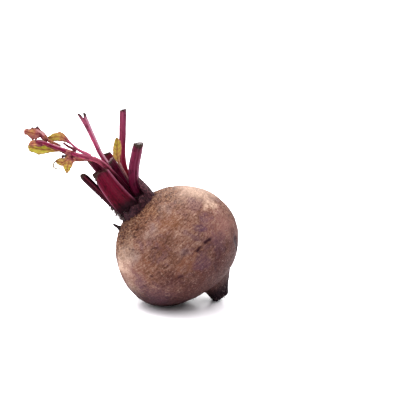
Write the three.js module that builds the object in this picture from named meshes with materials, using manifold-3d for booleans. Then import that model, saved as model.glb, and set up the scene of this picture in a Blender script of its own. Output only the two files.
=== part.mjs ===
// A beetroot lying on its side: the swollen root with its tail stub and crown, the cut leaf stalks that grow
// from the crown, one stalk that still carries a torn leaf, and one young leaf. Millimetres, +Z up.
//
// Everything is modelled upright in the beetroot's own frame, with the crown up the +Z axis and the origin at
// the centre of the widest ring. One group then lays it over, so that the exported frame has its origin in
// the middle of the small flat spot that the root rests on.

import * as THREE from "three";
import { mergeVertices } from "three/addons/utils/BufferGeometryUtils.js";
import Module from "manifold-3d";

const wasm = await Module();
wasm.setup();

// ---- Driving dimensions -------------------------------------------------------------------------

const BULB_DIAMETER = 81;
const BULB_TOP = 38.2; // from the widest ring up to where the shoulder would close
const BULB_BOTTOM = 31.8; // from the widest ring down to where the belly would close
const SHOULDER_POWER = 2.15; // 2 is an ellipse, more is fuller
const BELLY_POWER = 2.35;

const CROWN = 39; // height of the crown's foot, from which the stalks are measured
const NECK_RADIUS = 11.9;
const NECK_HEIGHT = 5.2;
const NECK_TAPER = 0.36; // radius lost for each millimetre of height
const NECK_FADE = 5; // height over which the neck sinks into the shoulder
const NECK_DOME = 1.6;

const TAIL_LENGTH = 48; // from the widest ring to beyond the cut
const TAIL_RADIUS = 5.6; // at the cut
const TAIL_CUT = { height: -43.3, normal: [-0.22, 0.07, -0.96] };
const TAIL_TOP = -31; // height above which the tail is lost in the belly
const TAIL_FLARE = 14.5; // height over which the tail grows by a factor e towards the belly
const TAIL_SWEEP = 1.2; // how far the tail bends back, away from the front

const LEAN = 41.2; // degrees that the axis leans over from upright
const TURN = 6; // degrees that the crown turns towards the front
const FLAT_DEPTH = 0.9; // how much of the roundness is pressed flat where the root rests

const GAP = 0.3; // clearance between neighbouring pieces
const BLADE_THICKNESS = 0.8;

const SKIN = new THREE.MeshStandardMaterial({ color: 0x97705f, roughness: 0.62, metalness: 0 });
const STALK = new THREE.MeshStandardMaterial({ color: 0x7d1f3e, roughness: 0.38, metalness: 0 });
const DARK_STALK = new THREE.MeshStandardMaterial({ color: 0x4c1526, roughness: 0.5, metalness: 0 });
const PINK_STALK = new THREE.MeshStandardMaterial({ color: 0xb03f68, roughness: 0.35, metalness: 0 });
const BLADE = new THREE.MeshStandardMaterial({ color: 0xb0a23f, roughness: 0.5, metalness: 0 });

// ---- Solids -------------------------------------------------------------------------------------

// A closed three.js geometry as a solid that can be joined and cut.
function solidOf(geometry) {
  const bare = geometry.index ? geometry.toNonIndexed() : geometry.clone();
  bare.deleteAttribute("normal");
  bare.deleteAttribute("uv");
  const merged = mergeVertices(bare, 1e-4);
  return new wasm.Manifold(
    new wasm.Mesh({
      numProp: 3,
      vertProperties: merged.getAttribute("position").array,
      triVerts: new Uint32Array(merged.index.array),
    }),
  );
}

// The largest body of a solid, without the loose scraps that a cut can leave.
function largestBody(solid) {
  return solid.decompose().reduce((best, body) => (body.volume() > best.volume() ? body : best));
}

function meshOf(name, solid, material) {
  const { vertProperties, triVerts } = largestBody(solid).simplify(0.01).getMesh();
  const geometry = new THREE.BufferGeometry()
    .setAttribute("position", new THREE.BufferAttribute(vertProperties, 3))
    .setIndex(new THREE.BufferAttribute(triVerts, 1));
  geometry.computeVertexNormals();
  const mesh = new THREE.Mesh(geometry, material);
  mesh.name = name;
  return mesh;
}

// Moves every vertex of a geometry to move(vertex).
function reshape(geometry, move) {
  const position = geometry.getAttribute("position");
  const vertex = new THREE.Vector3();
  for (let i = 0; i < position.count; i++) {
    vertex.fromBufferAttribute(position, i);
    position.setXYZ(i, ...move(vertex).toArray());
  }
  return geometry;
}

// ---- Root: bulb, tail and neck in one body ------------------------------------------------------

// The larger of two radii, with a fillet between them: the lower the power, the wider the fillet.
const smoothMax = (a, b, power) => (a ** power + b ** power) ** (1 / power);
const NECK_FILLET = 5;
const TAIL_FILLET = 4;

// 1 at the middle, fading to both sides.
const bell = (x, middle, spread) => Math.exp(-(((x - middle) / spread) ** 2));

// Radius of the root at a height on its axis, before lumps.
function rootRadius(height) {
  const reach = height > 0 ? height / BULB_TOP : -height / BULB_BOTTOM;
  const power = height > 0 ? SHOULDER_POWER : BELLY_POWER;
  const bulb = (BULB_DIAMETER / 2) * Math.sqrt(Math.max(0, 1 - reach ** power));
  if (height > 0) {
    const neck = Math.max(0, NECK_RADIUS - NECK_TAPER * Math.max(0, height - CROWN));
    return smoothMax(bulb, neck * Math.min(1, Math.exp((height - CROWN) / NECK_FADE)), NECK_FILLET);
  }
  const tail = TAIL_RADIUS * Math.exp((Math.min(height, TAIL_TOP) - TAIL_CUT.height) / TAIL_FLARE);
  return smoothMax(bulb, tail, TAIL_FILLET);
}

// Shallow lumps, as waves round the root: size is a share of the radius, sides is how many crests there are,
// and turn is where they start, in radians. One with a spread fades away from its own height.
const LUMPS = [
  { size: 0.014, sides: 2, turn: 1.6 },
  { size: 0.008, sides: 3, turn: -1.4 },
  { size: 0.016, sides: 0, turn: 0, at: -2, spread: 15 },
  { size: -0.016, sides: 1, turn: 0, at: -2, spread: 15 },
  { size: 0.012, sides: 5, turn: 1.3, at: 26, spread: 12 },
  { size: 0.035, sides: 9, turn: 0.4, at: CROWN + 1, spread: 4 },
  { size: 0.07, sides: 3, turn: 0.6, at: -40, spread: 8 },
];

function lump(angle, height) {
  return LUMPS.reduce((total, { size, sides, turn, at = height, spread = 1 }) => {
    return total + size * Math.cos(sides * angle + turn) * bell(height, at, spread);
  }, 1);
}

// Where the axis strays sideways: the belly sags and the tail turns back under it.
const STRAYS = [
  { by: 3.8, at: -31, spread: 6.5 },
  { by: -1.2, at: CROWN, spread: 8 },
  { by: -1.9, at: -47, spread: 8 },
];
const AXIS_OFFSET = 1.2;
const SWEEP_START = -15;
const SWEEP_SPAN = 27;

// How far the axis is sideways and back at a height.
function axisDrift(height) {
  const strays = STRAYS.map(({ by, at, spread }) => by * bell(height, at, spread));
  const sideways = strays.reduce((total, stray) => total + stray, AXIS_OFFSET);
  const down = THREE.MathUtils.clamp((SWEEP_START - height) / SWEEP_SPAN, 0, 1.3);
  return [sideways, TAIL_SWEEP * down ** 2];
}

const ROUND = 64; // sides of the root
const SIDE_RINGS = 30;

function rootGeometry(grow = 0) {
  const top = CROWN + NECK_HEIGHT;
  const bottom = -TAIL_LENGTH;
  const outline = [new THREE.Vector2(0, bottom - grow), new THREE.Vector2(TAIL_RADIUS / 2, bottom)];
  for (let i = 0; i <= SIDE_RINGS; i++) {
    const share = -Math.cos((Math.PI * i) / SIDE_RINGS); // rings lie closer together near both ends
    const height = share < 0 ? -share * (bottom + 1.5) : share * top;
    outline.push(new THREE.Vector2(rootRadius(height) + grow, height + (i === SIDE_RINGS ? grow : 0)));
  }
  outline.push(new THREE.Vector2(rootRadius(top) * 0.6, top + NECK_DOME * 0.7 + grow));
  outline.push(new THREE.Vector2(0, top + NECK_DOME + grow));
  const upright = new THREE.LatheGeometry(outline, ROUND).rotateX(Math.PI / 2);
  return reshape(upright, (p) => {
    const swell = lump(Math.atan2(p.y, p.x), p.z);
    const [sideways, back] = axisDrift(p.z);
    return p.set(p.x * swell + sideways, p.y * swell + back, p.z);
  });
}

// Old leaf bases: pointed scales that stand round the neck, every other one outside its neighbours. Angles
// are in degrees from +X towards +Y, and lean is how far a tip leans in for each millimetre of height.
const SCALES = [
  { angle: -16, height: 14, width: 11, lean: -0.1 },
  { angle: 26, height: 7, width: 9, lean: 0.1 },
  { angle: 66, height: 5.5, width: 9, lean: 0.1 },
  { angle: 105, height: 7.5, width: 9, lean: 0.06 },
  { angle: 146, height: 4.8, width: 9, lean: 0.1 },
  { angle: 186, height: 3.8, width: 9, lean: 0.1 },
  { angle: 224, height: 2.6, width: 8, lean: 0.1 },
  { angle: 262, height: 3, width: 9, lean: 0.1 },
  { angle: 303, height: 4.2, width: 9, lean: 0.1 },
];
const SCALE_THICKNESS = 1.4;
const SCALE_FOOT = -4; // height of their feet, below the crown's
const SCALE_SUNK = 1; // how deep the inner ones stand in the neck
const SCALE_STAGGER = 0.8;
const SCALE_TIP = 0.06; // half the width of a tip, as a share of the scale's

function scaleGeometry({ angle, height, width, lean }, index, grow = 0) {
  const half = width / 2 + grow;
  const tip = width * SCALE_TIP + grow;
  const bend = height * 0.75;
  const outline = new THREE.Shape();
  outline.moveTo(-half, SCALE_FOOT);
  outline.lineTo(half, SCALE_FOOT);
  outline.quadraticCurveTo(half, bend, tip, height + grow);
  outline.lineTo(-tip, height + grow);
  outline.quadraticCurveTo(-half, bend, -half, SCALE_FOOT);
  const plate = new THREE.ExtrudeGeometry(outline, {
    depth: SCALE_THICKNESS + 2 * grow,
    steps: 1,
    curveSegments: 5,
    bevelEnabled: false,
  });
  const middle = THREE.MathUtils.degToRad(angle);
  const inside = NECK_RADIUS - SCALE_SUNK + (index % 2) * SCALE_STAGGER - grow;
  return reshape(plate, (p) => {
    const radius = inside + p.z - lean * Math.max(0, p.y);
    const around = middle + p.x / NECK_RADIUS;
    return p.set(radius * Math.cos(around), radius * Math.sin(around), CROWN + p.y);
  });
}

// Two short dead side roots on the shoulder: where each starts, where it points and how thick it is.
const SPIKES = [
  { from: [-17.4, -1, 33.2], to: [-19.3, -1, 39.8], thickness: 2.4 },
  { from: [-12, -3, 37], to: [-13.6, -3.4, 40.1], thickness: 2 },
];

const SPIKE_SUNK = 2; // length of its foot inside the skin
const UP = new THREE.Vector3(0, 1, 0); // the way that three.js builds a cylinder

// Turns a cylinder, or anything else built up the Y axis, to another direction.
const turnedTo = (direction) => new THREE.Quaternion().setFromUnitVectors(UP, direction);

function spikeGeometry({ from, to, thickness }) {
  const along = new THREE.Vector3(...to).sub(new THREE.Vector3(...from));
  const length = along.length() + SPIKE_SUNK;
  const cone = new THREE.CylinderGeometry(thickness * 0.22, thickness / 2, length, 7);
  cone.translate(0, length / 2 - SPIKE_SUNK, 0);
  return cone.applyQuaternion(turnedTo(along.normalize())).translate(...from);
}

// The crown that stalks are trimmed back from: the root and its scales, grown by the gap.
function crownClearance() {
  const scales = SCALES.map((scale, index) => solidOf(scaleGeometry(scale, index, GAP)));
  return scales.reduce((all, scale) => all.add(scale), solidOf(rootGeometry(GAP)));
}

// ---- Laying it down -----------------------------------------------------------------------------

const beetroot = new THREE.Group();
beetroot.rotation.set(0, -THREE.MathUtils.degToRad(LEAN), THREE.MathUtils.degToRad(TURN), "ZYX");

// The middle of the flat spot that the belly's lowest part is pressed to, once it leans over. It is the
// average of the surface below the spot's level, weighted by how far below it lies.
function restingPoint() {
  const position = rootGeometry().getAttribute("position");
  const belly = [];
  for (let i = 0; i < position.count; i++) {
    const vertex = new THREE.Vector3().fromBufferAttribute(position, i);
    if (Math.abs(vertex.z) < BULB_BOTTOM) belly.push(vertex.applyQuaternion(beetroot.quaternion));
  }
  const level = Math.min(...belly.map((vertex) => vertex.z)) + FLAT_DEPTH;
  const middle = new THREE.Vector3();
  let weights = 0;
  for (const vertex of belly.filter(({ z }) => z < level)) {
    middle.addScaledVector(vertex, level - vertex.z);
    weights += level - vertex.z;
  }
  return middle.divideScalar(weights).setZ(level);
}

beetroot.position.copy(restingPoint()).negate();
beetroot.updateMatrixWorld(true);

// A block that fills the space beyond a plane, in the beetroot's own frame.
function blockBeyond(point, normal) {
  const size = 200;
  const block = new THREE.BoxGeometry(size, size, size).translate(0, size / 2, 0);
  return solidOf(block.applyQuaternion(turnedTo(normal.normalize())).translate(...point.toArray()));
}

function rootSolid() {
  const scales = SCALES.map((scale, index) => scaleGeometry(scale, index));
  const pieces = [...scales, ...SPIKES.map(spikeGeometry)];
  const toLocal = beetroot.matrixWorld.clone().invert();
  const surface = new THREE.Vector3().applyMatrix4(toLocal);
  const downwards = new THREE.Vector3(0, 0, -1).transformDirection(toLocal);
  const [sideways, back] = axisDrift(TAIL_CUT.height);
  const tailEnd = new THREE.Vector3(sideways, back, TAIL_CUT.height);
  return pieces
    .reduce((all, piece) => all.add(solidOf(piece)), solidOf(rootGeometry()))
    .subtract(blockBeyond(tailEnd, new THREE.Vector3(...TAIL_CUT.normal)))
    .subtract(blockBeyond(surface, downwards));
}

// ---- Stalks -------------------------------------------------------------------------------------

// A stalk's points run from the crown to its cut end, as [across, back, up from the crown's foot]. Width and
// depth are given at the foot and at the end. Slant leans the cut. Groove is how deep the channel on the
// inner side is, as a share of the depth. Flare is how much wider than its given width the end itself gets.
const STALKS = [
  {
    name: "stalk_leafy",
    material: PINK_STALK,
    points: [
      [1.8, -5.3, 0], [2, -5.6, 9.5], [2.7, -6.2, 17.6], [2.9, -7.2, 26.2], [2.9, -8.4, 33.5],
      [1.7, -9.2, 38.6], [-1.2, -10, 43.5], [-4.6, -10.8, 48.8], [-7.3, -11.6, 54.7], [-10.9, -12.4, 61.4],
      [-14, -13.2, 67.6], [-17, -14, 72.2],
    ],
    width: [4.6, 1.7],
    depth: [4.4, 1.6],
    groove: 0.12,
    steps: 24,
  },
  {
    name: "stalk_broad_front",
    material: STALK,
    points: [[-4.2, -7.4, 0], [-4.1, -8.3, 9], [-3.3, -10.2, 21], [-1.8, -12, 32.6]],
    width: [17.4, 12],
    depth: [5.2, 4.2],
    groove: 0.2,
    slant: -0.12,
    steps: 10,
  },
  {
    name: "stalk_curved_right",
    material: STALK,
    points: [
      [6, -4.4, 0], [6.6, -4.6, 6.7], [8.4, -4.9, 11.3], [11.8, -5.2, 16], [16.4, -5.6, 20.4],
      [21.6, -6, 24.4], [27.7, -6.6, 28.9],
    ],
    width: [8, 7.4],
    depth: [5.8, 5.6],
    groove: 0.28,
    slant: 0.1,
    steps: 12,
  },
  {
    name: "stalk_short_middle",
    material: DARK_STALK,
    points: [[2.4, -2.4, 0], [3.6, -3, 9.9], [5.6, -3.8, 21.8], [7.6, -4.4, 32.6]],
    width: [4.8, 5.2],
    depth: [3.8, 3.6],
    groove: 0.2,
    slant: 0.2,
    steps: 9,
  },
  {
    name: "stalk_tall",
    material: PINK_STALK,
    points: [
      [4.6, 3.4, 0], [4.3, 3.3, 8.4], [6.2, 3.5, 14.8], [10.4, 4, 23.5], [16.1, 4.6, 31], [24.7, 5.6, 40],
      [33.7, 6.4, 49.4],
    ],
    width: [4.8, 4.4],
    depth: [4.6, 3.8],
    groove: 0.2,
    slant: -0.3,
    steps: 15,
  },
  {
    name: "stalk_dark_left",
    material: DARK_STALK,
    points: [[-9.8, -1.8, -1], [-10.5, -2.2, 4.2], [-11.2, -3.6, 21.8], [-11.9, -5, 38]],
    width: [4.4, 5],
    depth: [5.2, 5.8],
    groove: 0.25,
    slant: 0.15,
    steps: 10,
  },
  {
    name: "stalk_broad_back",
    material: DARK_STALK,
    points: [[-3.8, 0.4, 0], [-3.1, 0.4, 8], [-2.7, 0, 22], [-1.2, -0.6, 40.6]],
    width: [7.2, 8],
    depth: [5.2, 6.6],
    groove: 0.2,
    slant: 0.05,
    steps: 9,
  },
  {
    name: "stalk_thin_forked",
    material: PINK_STALK,
    points: [
      [0.2, 4.6, 0], [1.4, 4.7, 9.9], [2.6, 5.2, 20.6], [3.6, 6.2, 33.1], [4.7, 6.8, 38.9], [6.8, 7.5, 45.6],
      [9.3, 8.4, 53.7], [12.5, 9.6, 65],
    ],
    width: [2.6, 3.5],
    flare: 0.5,
    depth: [2.8, 2.6],
    groove: 0.15,
    slant: 0.35,
    forkDepth: 4.5,
    steps: 15,
  },
  {
    name: "stalk_short_back",
    material: DARK_STALK,
    points: [[-1, 8.4, 0], [1.2, 8.8, 9.3], [4.6, 10.6, 24.1], [7.1, 12.4, 35.6]],
    width: [5.2, 5.6],
    depth: [4.2, 3.8],
    groove: 0.2,
    slant: 0.25,
    steps: 9,
  },
  {
    name: "stalk_stub_back_right",
    material: DARK_STALK,
    points: [[6.2, 7.4, -1], [7, 8.8, 6], [8.2, 11.4, 13.5]],
    width: [6.4, 5.6],
    depth: [4.6, 4.2],
    groove: 0.22,
    slant: 0.3,
    steps: 6,
  },
  {
    name: "stalk_stub_back_left",
    material: STALK,
    points: [[-6.8, 5.8, -1], [-7.8, 7.4, 8], [-9, 9.4, 19]],
    width: [6.2, 5.4],
    depth: [4.4, 4],
    groove: 0.22,
    slant: -0.3,
    steps: 7,
  },
  {
    name: "young_leaf_stalk",
    material: PINK_STALK,
    points: [
      [4.7, 0.1, 0], [4.4, 0, 8.4], [5.2, -0.2, 13.5], [6.5, -0.6, 18.4], [7.4, -1.1, 22.6], [9, -1.4, 26.6],
      [11.8, -1.5, 30.2],
    ],
    width: [1.5, 1],
    depth: [1.5, 0.9],
    steps: 12,
  },
];

const SECTION_SIDES = 14;
const GROOVE_SPREAD = 0.17;
const FLARE_POWER = 9; // keeps a flare to the end of its stalk

// Cross-section of a stalk, one unit wide and deep, with its channel on the +Y side.
function stalkSection(groove) {
  const points = [];
  for (let i = 0; i < SECTION_SIDES; i++) {
    const angle = (2 * Math.PI * i) / SECTION_SIDES;
    const [x, y] = [Math.cos(angle) / 2, Math.sin(angle) / 2];
    points.push(new THREE.Vector2(x, y > 0 ? y - groove * bell(x, 0, GROOVE_SPREAD) : y));
  }
  return new THREE.Shape(points);
}

const fromCrown = ([x, y, z]) => new THREE.Vector3(x, y, z + CROWN);
const stalkCurve = ({ points }) => new THREE.CatmullRomCurve3(points.map(fromCrown), false, "centripetal");

// A stalk is a straight extrusion whose rings are set along its curve, with the channel towards the crown's
// axis.
function stalkGeometry({ points, width, flare = 0, depth, groove = 0, slant = 0, steps }, grow = 0) {
  const curve = stalkCurve({ points });
  const [footX, footY] = points[0];
  const inward = new THREE.Vector3(-footX, -footY, 0).normalize();
  const bar = new THREE.ExtrudeGeometry(stalkSection(groove), { depth: 1, steps, bevelEnabled: false });
  return reshape(bar, ({ x, y, z }) => {
    const share = Math.min(z, 1);
    const tangent = curve.getTangentAt(share);
    const side = new THREE.Vector3().crossVectors(inward, tangent).normalize();
    const front = new THREE.Vector3().crossVectors(tangent, side);
    const flared = THREE.MathUtils.lerp(...width, share) * (1 + flare * share ** FLARE_POWER);
    const across = x * (flared + 2 * grow);
    const outwards = y * (THREE.MathUtils.lerp(...depth, share) + 2 * grow);
    const lean = slant * across * Math.max(0, 2 * share - 1); // only the upper half leans
    const beyond = share > 0.999 ? grow : 0;
    return curve
      .getPointAt(share)
      .addScaledVector(side, across)
      .addScaledVector(front, outwards)
      .addScaledVector(tangent, lean + beyond);
  });
}

// A dried end that has split: a wedge is taken out between its two prongs.
function splitEnd(solid, stalk) {
  const curve = stalkCurve(stalk);
  const wide = stalk.width[1] * (1 + stalk.flare);
  const wedge = new THREE.CylinderGeometry(wide * 0.56, 0.05, 2 * stalk.forkDepth, 4).scale(1, 1, 3);
  wedge.applyQuaternion(turnedTo(curve.getTangentAt(1))).translate(...curve.getPointAt(1).toArray());
  return solid.subtract(solidOf(wedge));
}

// ---- Leaf blades --------------------------------------------------------------------------------

// A closed sheet over a grid. surface(u, v) gives the middle of the sheet, u along it from 0 to 1 and v
// across it from -1 to 1. Both faces have the same triangles, so they can't cross where the sheet is waved.
function sheetGeometry(surface, along, across, thickness) {
  const vertices = [];
  const faces = [];
  const perFace = (along + 1) * (across + 1);
  const step = 1e-3;
  for (const sign of [1, -1]) {
    for (let i = 0; i <= along; i++) {
      for (let j = 0; j <= across; j++) {
        const [u, v] = [i / along, (2 * j) / across - 1];
        const lengthwise = surface(u + step, v).sub(surface(u - step, v));
        const crosswise = surface(u, v + step).sub(surface(u, v - step));
        const normal = lengthwise.cross(crosswise).normalize();
        vertices.push(...surface(u, v).addScaledVector(normal, (sign * thickness) / 2).toArray());
      }
    }
  }
  const at = (face, i, j) => face * perFace + i * (across + 1) + j;
  for (let i = 0; i < along; i++) {
    for (let j = 0; j < across; j++) {
      const [a, b, c, d] = [at(0, i, j), at(0, i + 1, j), at(0, i + 1, j + 1), at(0, i, j + 1)];
      faces.push(a, b, c, a, c, d);
      faces.push(a + perFace, c + perFace, b + perFace, a + perFace, d + perFace, c + perFace);
    }
  }
  const rim = [];
  for (let i = 0; i < along; i++) rim.push([i, 0]);
  for (let j = 0; j < across; j++) rim.push([along, j]);
  for (let i = along; i > 0; i--) rim.push([i, across]);
  for (let j = across; j > 0; j--) rim.push([0, j]);
  rim.forEach(([i, j], k) => {
    const [m, n] = rim[(k + 1) % rim.length];
    const [a, b] = [at(0, i, j), at(0, m, n)];
    faces.push(b, a, a + perFace, b, a + perFace, b + perFace);
  });
  return new THREE.BufferGeometry()
    .setAttribute("position", new THREE.Float32BufferAttribute(vertices, 3))
    .setIndex(faces);
}

// A lobe of blade along a vein. Its points are in the crown's frame, as a stalk's are, each with the blade's
// reach on either side of the vein. Facing is the way its upper face looks, cup bends both edges towards that
// side, and wave ruffles and notches them.
function lobeSolid({ points, facing, cup = 0, wave = 0, waves = 2.5, along = 11, across = 4 }) {
  const vein = new THREE.CatmullRomCurve3(points.map(fromCrown));
  const reaches = points.map(([, , , low, high]) => new THREE.Vector3(low, high, 0));
  const reach = new THREE.CatmullRomCurve3(reaches);
  const up = new THREE.Vector3(...facing).normalize();
  const surface = (u, v) => {
    const share = THREE.MathUtils.clamp(u, 0, 1);
    const tangent = vein.getTangent(share);
    const side = new THREE.Vector3().crossVectors(up, tangent).normalize();
    const phase = 2 * Math.PI * waves * share + 1.2 * Math.sign(v);
    const rounding = Math.sqrt(1 - 0.7 * share ** 8);
    const notches = 1 + 0.2 * wave * Math.sin(2 * phase);
    const half = reach.getPoint(share).getComponent(v > 0 ? 0 : 1) * rounding * notches;
    return vein
      .getPoint(share)
      .addScaledVector(tangent, (u - share) * 10)
      .addScaledVector(side, v * half)
      .addScaledVector(up, cup * v ** 2 + wave * Math.sin(phase) * v ** 2);
  };
  return solidOf(sheetGeometry(surface, along, across, BLADE_THICKNESS));
}

// The torn leaf: a narrow strip of blade left behind the stalk, with the lobes that grow from it.
const TORN_LEAF = [
  {
    points: [
      [-1.1, -7.4, 40, 0.5, 0.4],
      [-5.4, -8.6, 47.9, 2.2, 0.8],
      [-8.4, -9.5, 55.4, 1.3, 0.8],
      [-12.2, -10.5, 63.6, 1.2, 0.8],
      [-14.9, -11.4, 68.6, 1.6, 1],
    ],
    facing: [0, -1, 0],
    wave: 0.25,
    waves: 4,
    along: 14,
    across: 3,
  },
  {
    points: [
      [-9.1, -9.9, 57.3, 0.9, 1],
      [-13.1, -10.6, 61.8, 1.8, 2],
      [-18, -10.4, 66.3, 3.4, 2.4],
      [-23.3, -9.4, 72.5, 3.4, 4.2],
    ],
    facing: [0, -1, 0.25],
    cup: -0.8,
    wave: 0.45,
  },
  {
    points: [
      [-12.3, -11, 67, 2, 2.2],
      [-13.1, -12.2, 71.3, 3.4, 3.4],
      [-14.6, -14, 76.5, 3.7, 3.8],
      [-17.2, -16.4, 81, 2.4, 2.6],
    ],
    facing: [0.2, -1, -0.45],
    cup: 1.2,
    wave: 0.8,
    waves: 3,
  },
  {
    points: [
      [-2.5, -8.3, 48, 0.7, 0.7],
      [-3.2, -8.6, 56.8, 0.7, 1],
      [-4.7, -8.4, 62.1, 1.9, 3],
      [-7.5, -9, 66.1, 2.7, 2.8],
      [-11.5, -10.8, 67.9, 1.6, 1.2],
    ],
    facing: [-0.1, -1, 0.2],
    cup: 0.4,
    wave: 0.4,
  },
  {
    points: [[-6.7, -9.2, 50, 2, 1.6], [-11.2, -10.8, 52.3, 2.5, 2.1], [-17.1, -12.6, 54.7, 1.5, 1.7]],
    facing: [0.1, -1, 0.4],
    cup: 0.6,
    wave: 0.5,
  },
  {
    points: [[-5.8, -9, 48.4, 2.4, 1.9], [-11.1, -8.8, 47.2, 3.3, 1.4], [-17.4, -7.8, 45, 0.8, 0.9]],
    facing: [-0.1, -1, -0.1],
    cup: -0.7,
    wave: 0.6,
    waves: 3,
  },
];

const YOUNG_LEAF = {
  points: [
    [9.6, -2.6, 27.2, 0.5, 0.5],
    [12.2, -3, 31.6, 2.4, 2.3],
    [15.3, -3.2, 35.2, 2.5, 3],
    [18.2, -3.2, 38.2, 1.7, 2],
    [19.9, -3, 40.2, 0.5, 0.5],
  ],
  facing: [0.2, -1, -0.15],
  cup: 0.5,
  wave: 0.3,
  waves: 4,
  along: 14,
};

// ---- Assembly --------------------------------------------------------------------------------------

beetroot.add(meshOf("root", rootSolid(), SKIN));

const crown = crownClearance();
const placed = []; // grown copies of the pieces already made, which later ones are cut back from
const cutBack = (solid) => placed.reduce((left, other) => left.subtract(other), solid);

for (const stalk of STALKS) {
  const trimmed = cutBack(solidOf(stalkGeometry(stalk)).subtract(crown));
  beetroot.add(meshOf(stalk.name, stalk.forkDepth ? splitEnd(trimmed, stalk) : trimmed, stalk.material));
  placed.push(solidOf(stalkGeometry(stalk, GAP)));
}

const tornLeaf = TORN_LEAF.map(lobeSolid).reduce((all, lobe) => all.add(lobe));
beetroot.add(meshOf("torn_leaf_blade", cutBack(tornLeaf), BLADE));
beetroot.add(meshOf("young_leaf_blade", cutBack(lobeSolid(YOUNG_LEAF)), BLADE));

const part = new THREE.Group();
part.add(beetroot);
export default part;
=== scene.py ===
import math
import random

import bmesh
import bpy
import numpy as np
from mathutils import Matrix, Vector, noise


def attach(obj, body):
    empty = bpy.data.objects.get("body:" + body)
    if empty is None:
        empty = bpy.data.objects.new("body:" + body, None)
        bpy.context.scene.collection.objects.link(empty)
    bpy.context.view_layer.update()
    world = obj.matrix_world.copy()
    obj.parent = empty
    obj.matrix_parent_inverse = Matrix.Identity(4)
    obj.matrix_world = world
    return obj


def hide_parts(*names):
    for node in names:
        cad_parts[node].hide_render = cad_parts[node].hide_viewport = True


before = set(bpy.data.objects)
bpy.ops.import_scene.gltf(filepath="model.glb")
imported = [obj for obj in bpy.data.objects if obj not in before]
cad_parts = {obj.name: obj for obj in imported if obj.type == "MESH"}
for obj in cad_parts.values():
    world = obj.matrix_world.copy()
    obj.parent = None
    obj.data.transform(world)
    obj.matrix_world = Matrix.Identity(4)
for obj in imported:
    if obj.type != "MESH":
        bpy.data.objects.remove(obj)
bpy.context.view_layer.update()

# The beetroot is built upright in its own frame, in millimetres, with the crown up the +Z axis and the
# origin at the centre of the widest ring, as the CAD solids are. lay_down() then turns it into the row
# frame, in metres.

# ---- Sizes and places, in millimetres and degrees ----------------------------------------------------------

BULB_DIAMETER = 81
BULB_TOP = 38.2  # from the widest ring up to where the shoulder would close
BULB_BOTTOM = 31.8
SHOULDER_POWER = 2.15
BELLY_POWER = 2.35
CROWN = 39  # height of the crown's foot, from which stalks and leaves are measured
NECK_RADIUS = 11.9
NECK_HEIGHT = 5.2
NECK_TAPER = 0.36
NECK_FADE = 5
NECK_DOME = 1.6
NECK_FILLET = 5
TAIL_LENGTH = 48
TAIL_RADIUS = 5.6
TAIL_CUT = -43.3
TAIL_CUT_NORMAL = (-0.22, 0.07, -0.96)
TAIL_TOP = -31
TAIL_FLARE = 14.5
TAIL_SWEEP = 1.2
TAIL_FILLET = 4
LEAN = 41.2
TURN = 6
HEART = (10.485, -0.562, 35.148)  # where the widest ring's centre lies in the row frame

# Waves round the root: (share of the radius, crests, turn in radians, height, spread), with no height on
# those that run its whole length.
LUMPS = [
    (0.014, 2, 1.6, None, None),
    (0.008, 3, -1.4, None, None),
    (0.016, 0, 0, -2, 15),
    (-0.016, 1, 0, -2, 15),
    (0.012, 5, 1.3, 26, 12),
    (0.035, 9, 0.4, CROWN + 1, 4),
    (0.07, 3, 0.6, -40, 8),
]
STRAYS = [(3.8, -31, 6.5), (-1.2, CROWN, 8), (-1.9, -47, 8)]  # sideways drift of the axis: by, height, spread
AXIS_OFFSET = 1.2
SWEEP_START = -15
SWEEP_SPAN = 27

CM = 10  # millimetres in a centimetre, the unit of the places that the materials read

OUTLINE_STEPS = 6000
OUTLINE_END_STEPS = 40  # over the crown's top, and over the tail's end
OUTLINE_END = 0.15  # how far from its ends the outline's first and last rings lie
SKIN_SIDES = 340
SKIN_RINGS = 262
STALK_SIDES = 36
STALK_RING_STEP = 0.8
CURVE_STEPS = 40  # steps of a curve between two of its points

CAMERA_LENS = 85
CAMERA_SENSOR = 36
CAMERA_ELEVATION = 11.5
CAMERA_PLACE = (31.5, -618.8, 186.2)


# ---- Small mathematics -------------------------------------------------------------------------------------


def bell(x, middle, spread):
    return np.exp(-(((x - middle) / spread) ** 2))


def smoothstep(low, high, x):
    t = np.clip((x - low) / (high - low), 0, 1)
    return t * t * (3 - 2 * t)


def mix(a, b, share):
    return a + (b - a) * share


def smooth_max(a, b, power):
    return (a**power + b**power) ** (1 / power)


def unit(vectors):
    return vectors / np.maximum(np.linalg.norm(vectors, axis=-1, keepdims=True), 1e-9)


def field(points, size, seed=0, octaves=4):
    """Fractal noise from about -1 to 1 at points of any array shape. Size is that of its largest features."""
    flat = (np.reshape(points, (-1, 3)) / size + 17.3 * seed).tolist()
    values = [noise.fractal(p, 0.9, 2.0, octaves) for p in flat]
    return np.reshape(values, np.shape(points)[:-1])


def ridges(points, size, seed=0, octaves=4):
    """Noise from 0 to 1 with sharp crests."""
    return 1 - np.minimum(1, 2.2 * np.abs(field(points, size, seed, octaves)))


def full_turn(sides):
    """Angles once round, as the columns of a grid."""
    return np.linspace(0, 2 * math.pi, sides, endpoint=False)[None, :]


def together(*parts):
    """Coordinates of different shapes, as one grid of points."""
    return np.stack(np.broadcast_arrays(*parts), axis=-1)


def turn_about(axis, degrees):
    c, s = math.cos(math.radians(degrees)), math.sin(math.radians(degrees))
    if axis == "Y":
        return np.array([[c, 0, s], [0, 1, 0], [-s, 0, c]])
    return np.array([[c, -s, 0], [s, c, 0], [0, 0, 1]])


TO_ROW = turn_about("Z", TURN) @ turn_about("Y", -LEAN)


def lay_down(points):
    """Points of the beetroot's own frame, in millimetres, to the row frame, in metres."""
    return (points @ TO_ROW.T + np.array(HEART)) / 1000


def from_crown(points):
    return np.array(points, float) + [0, 0, CROWN]


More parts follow.
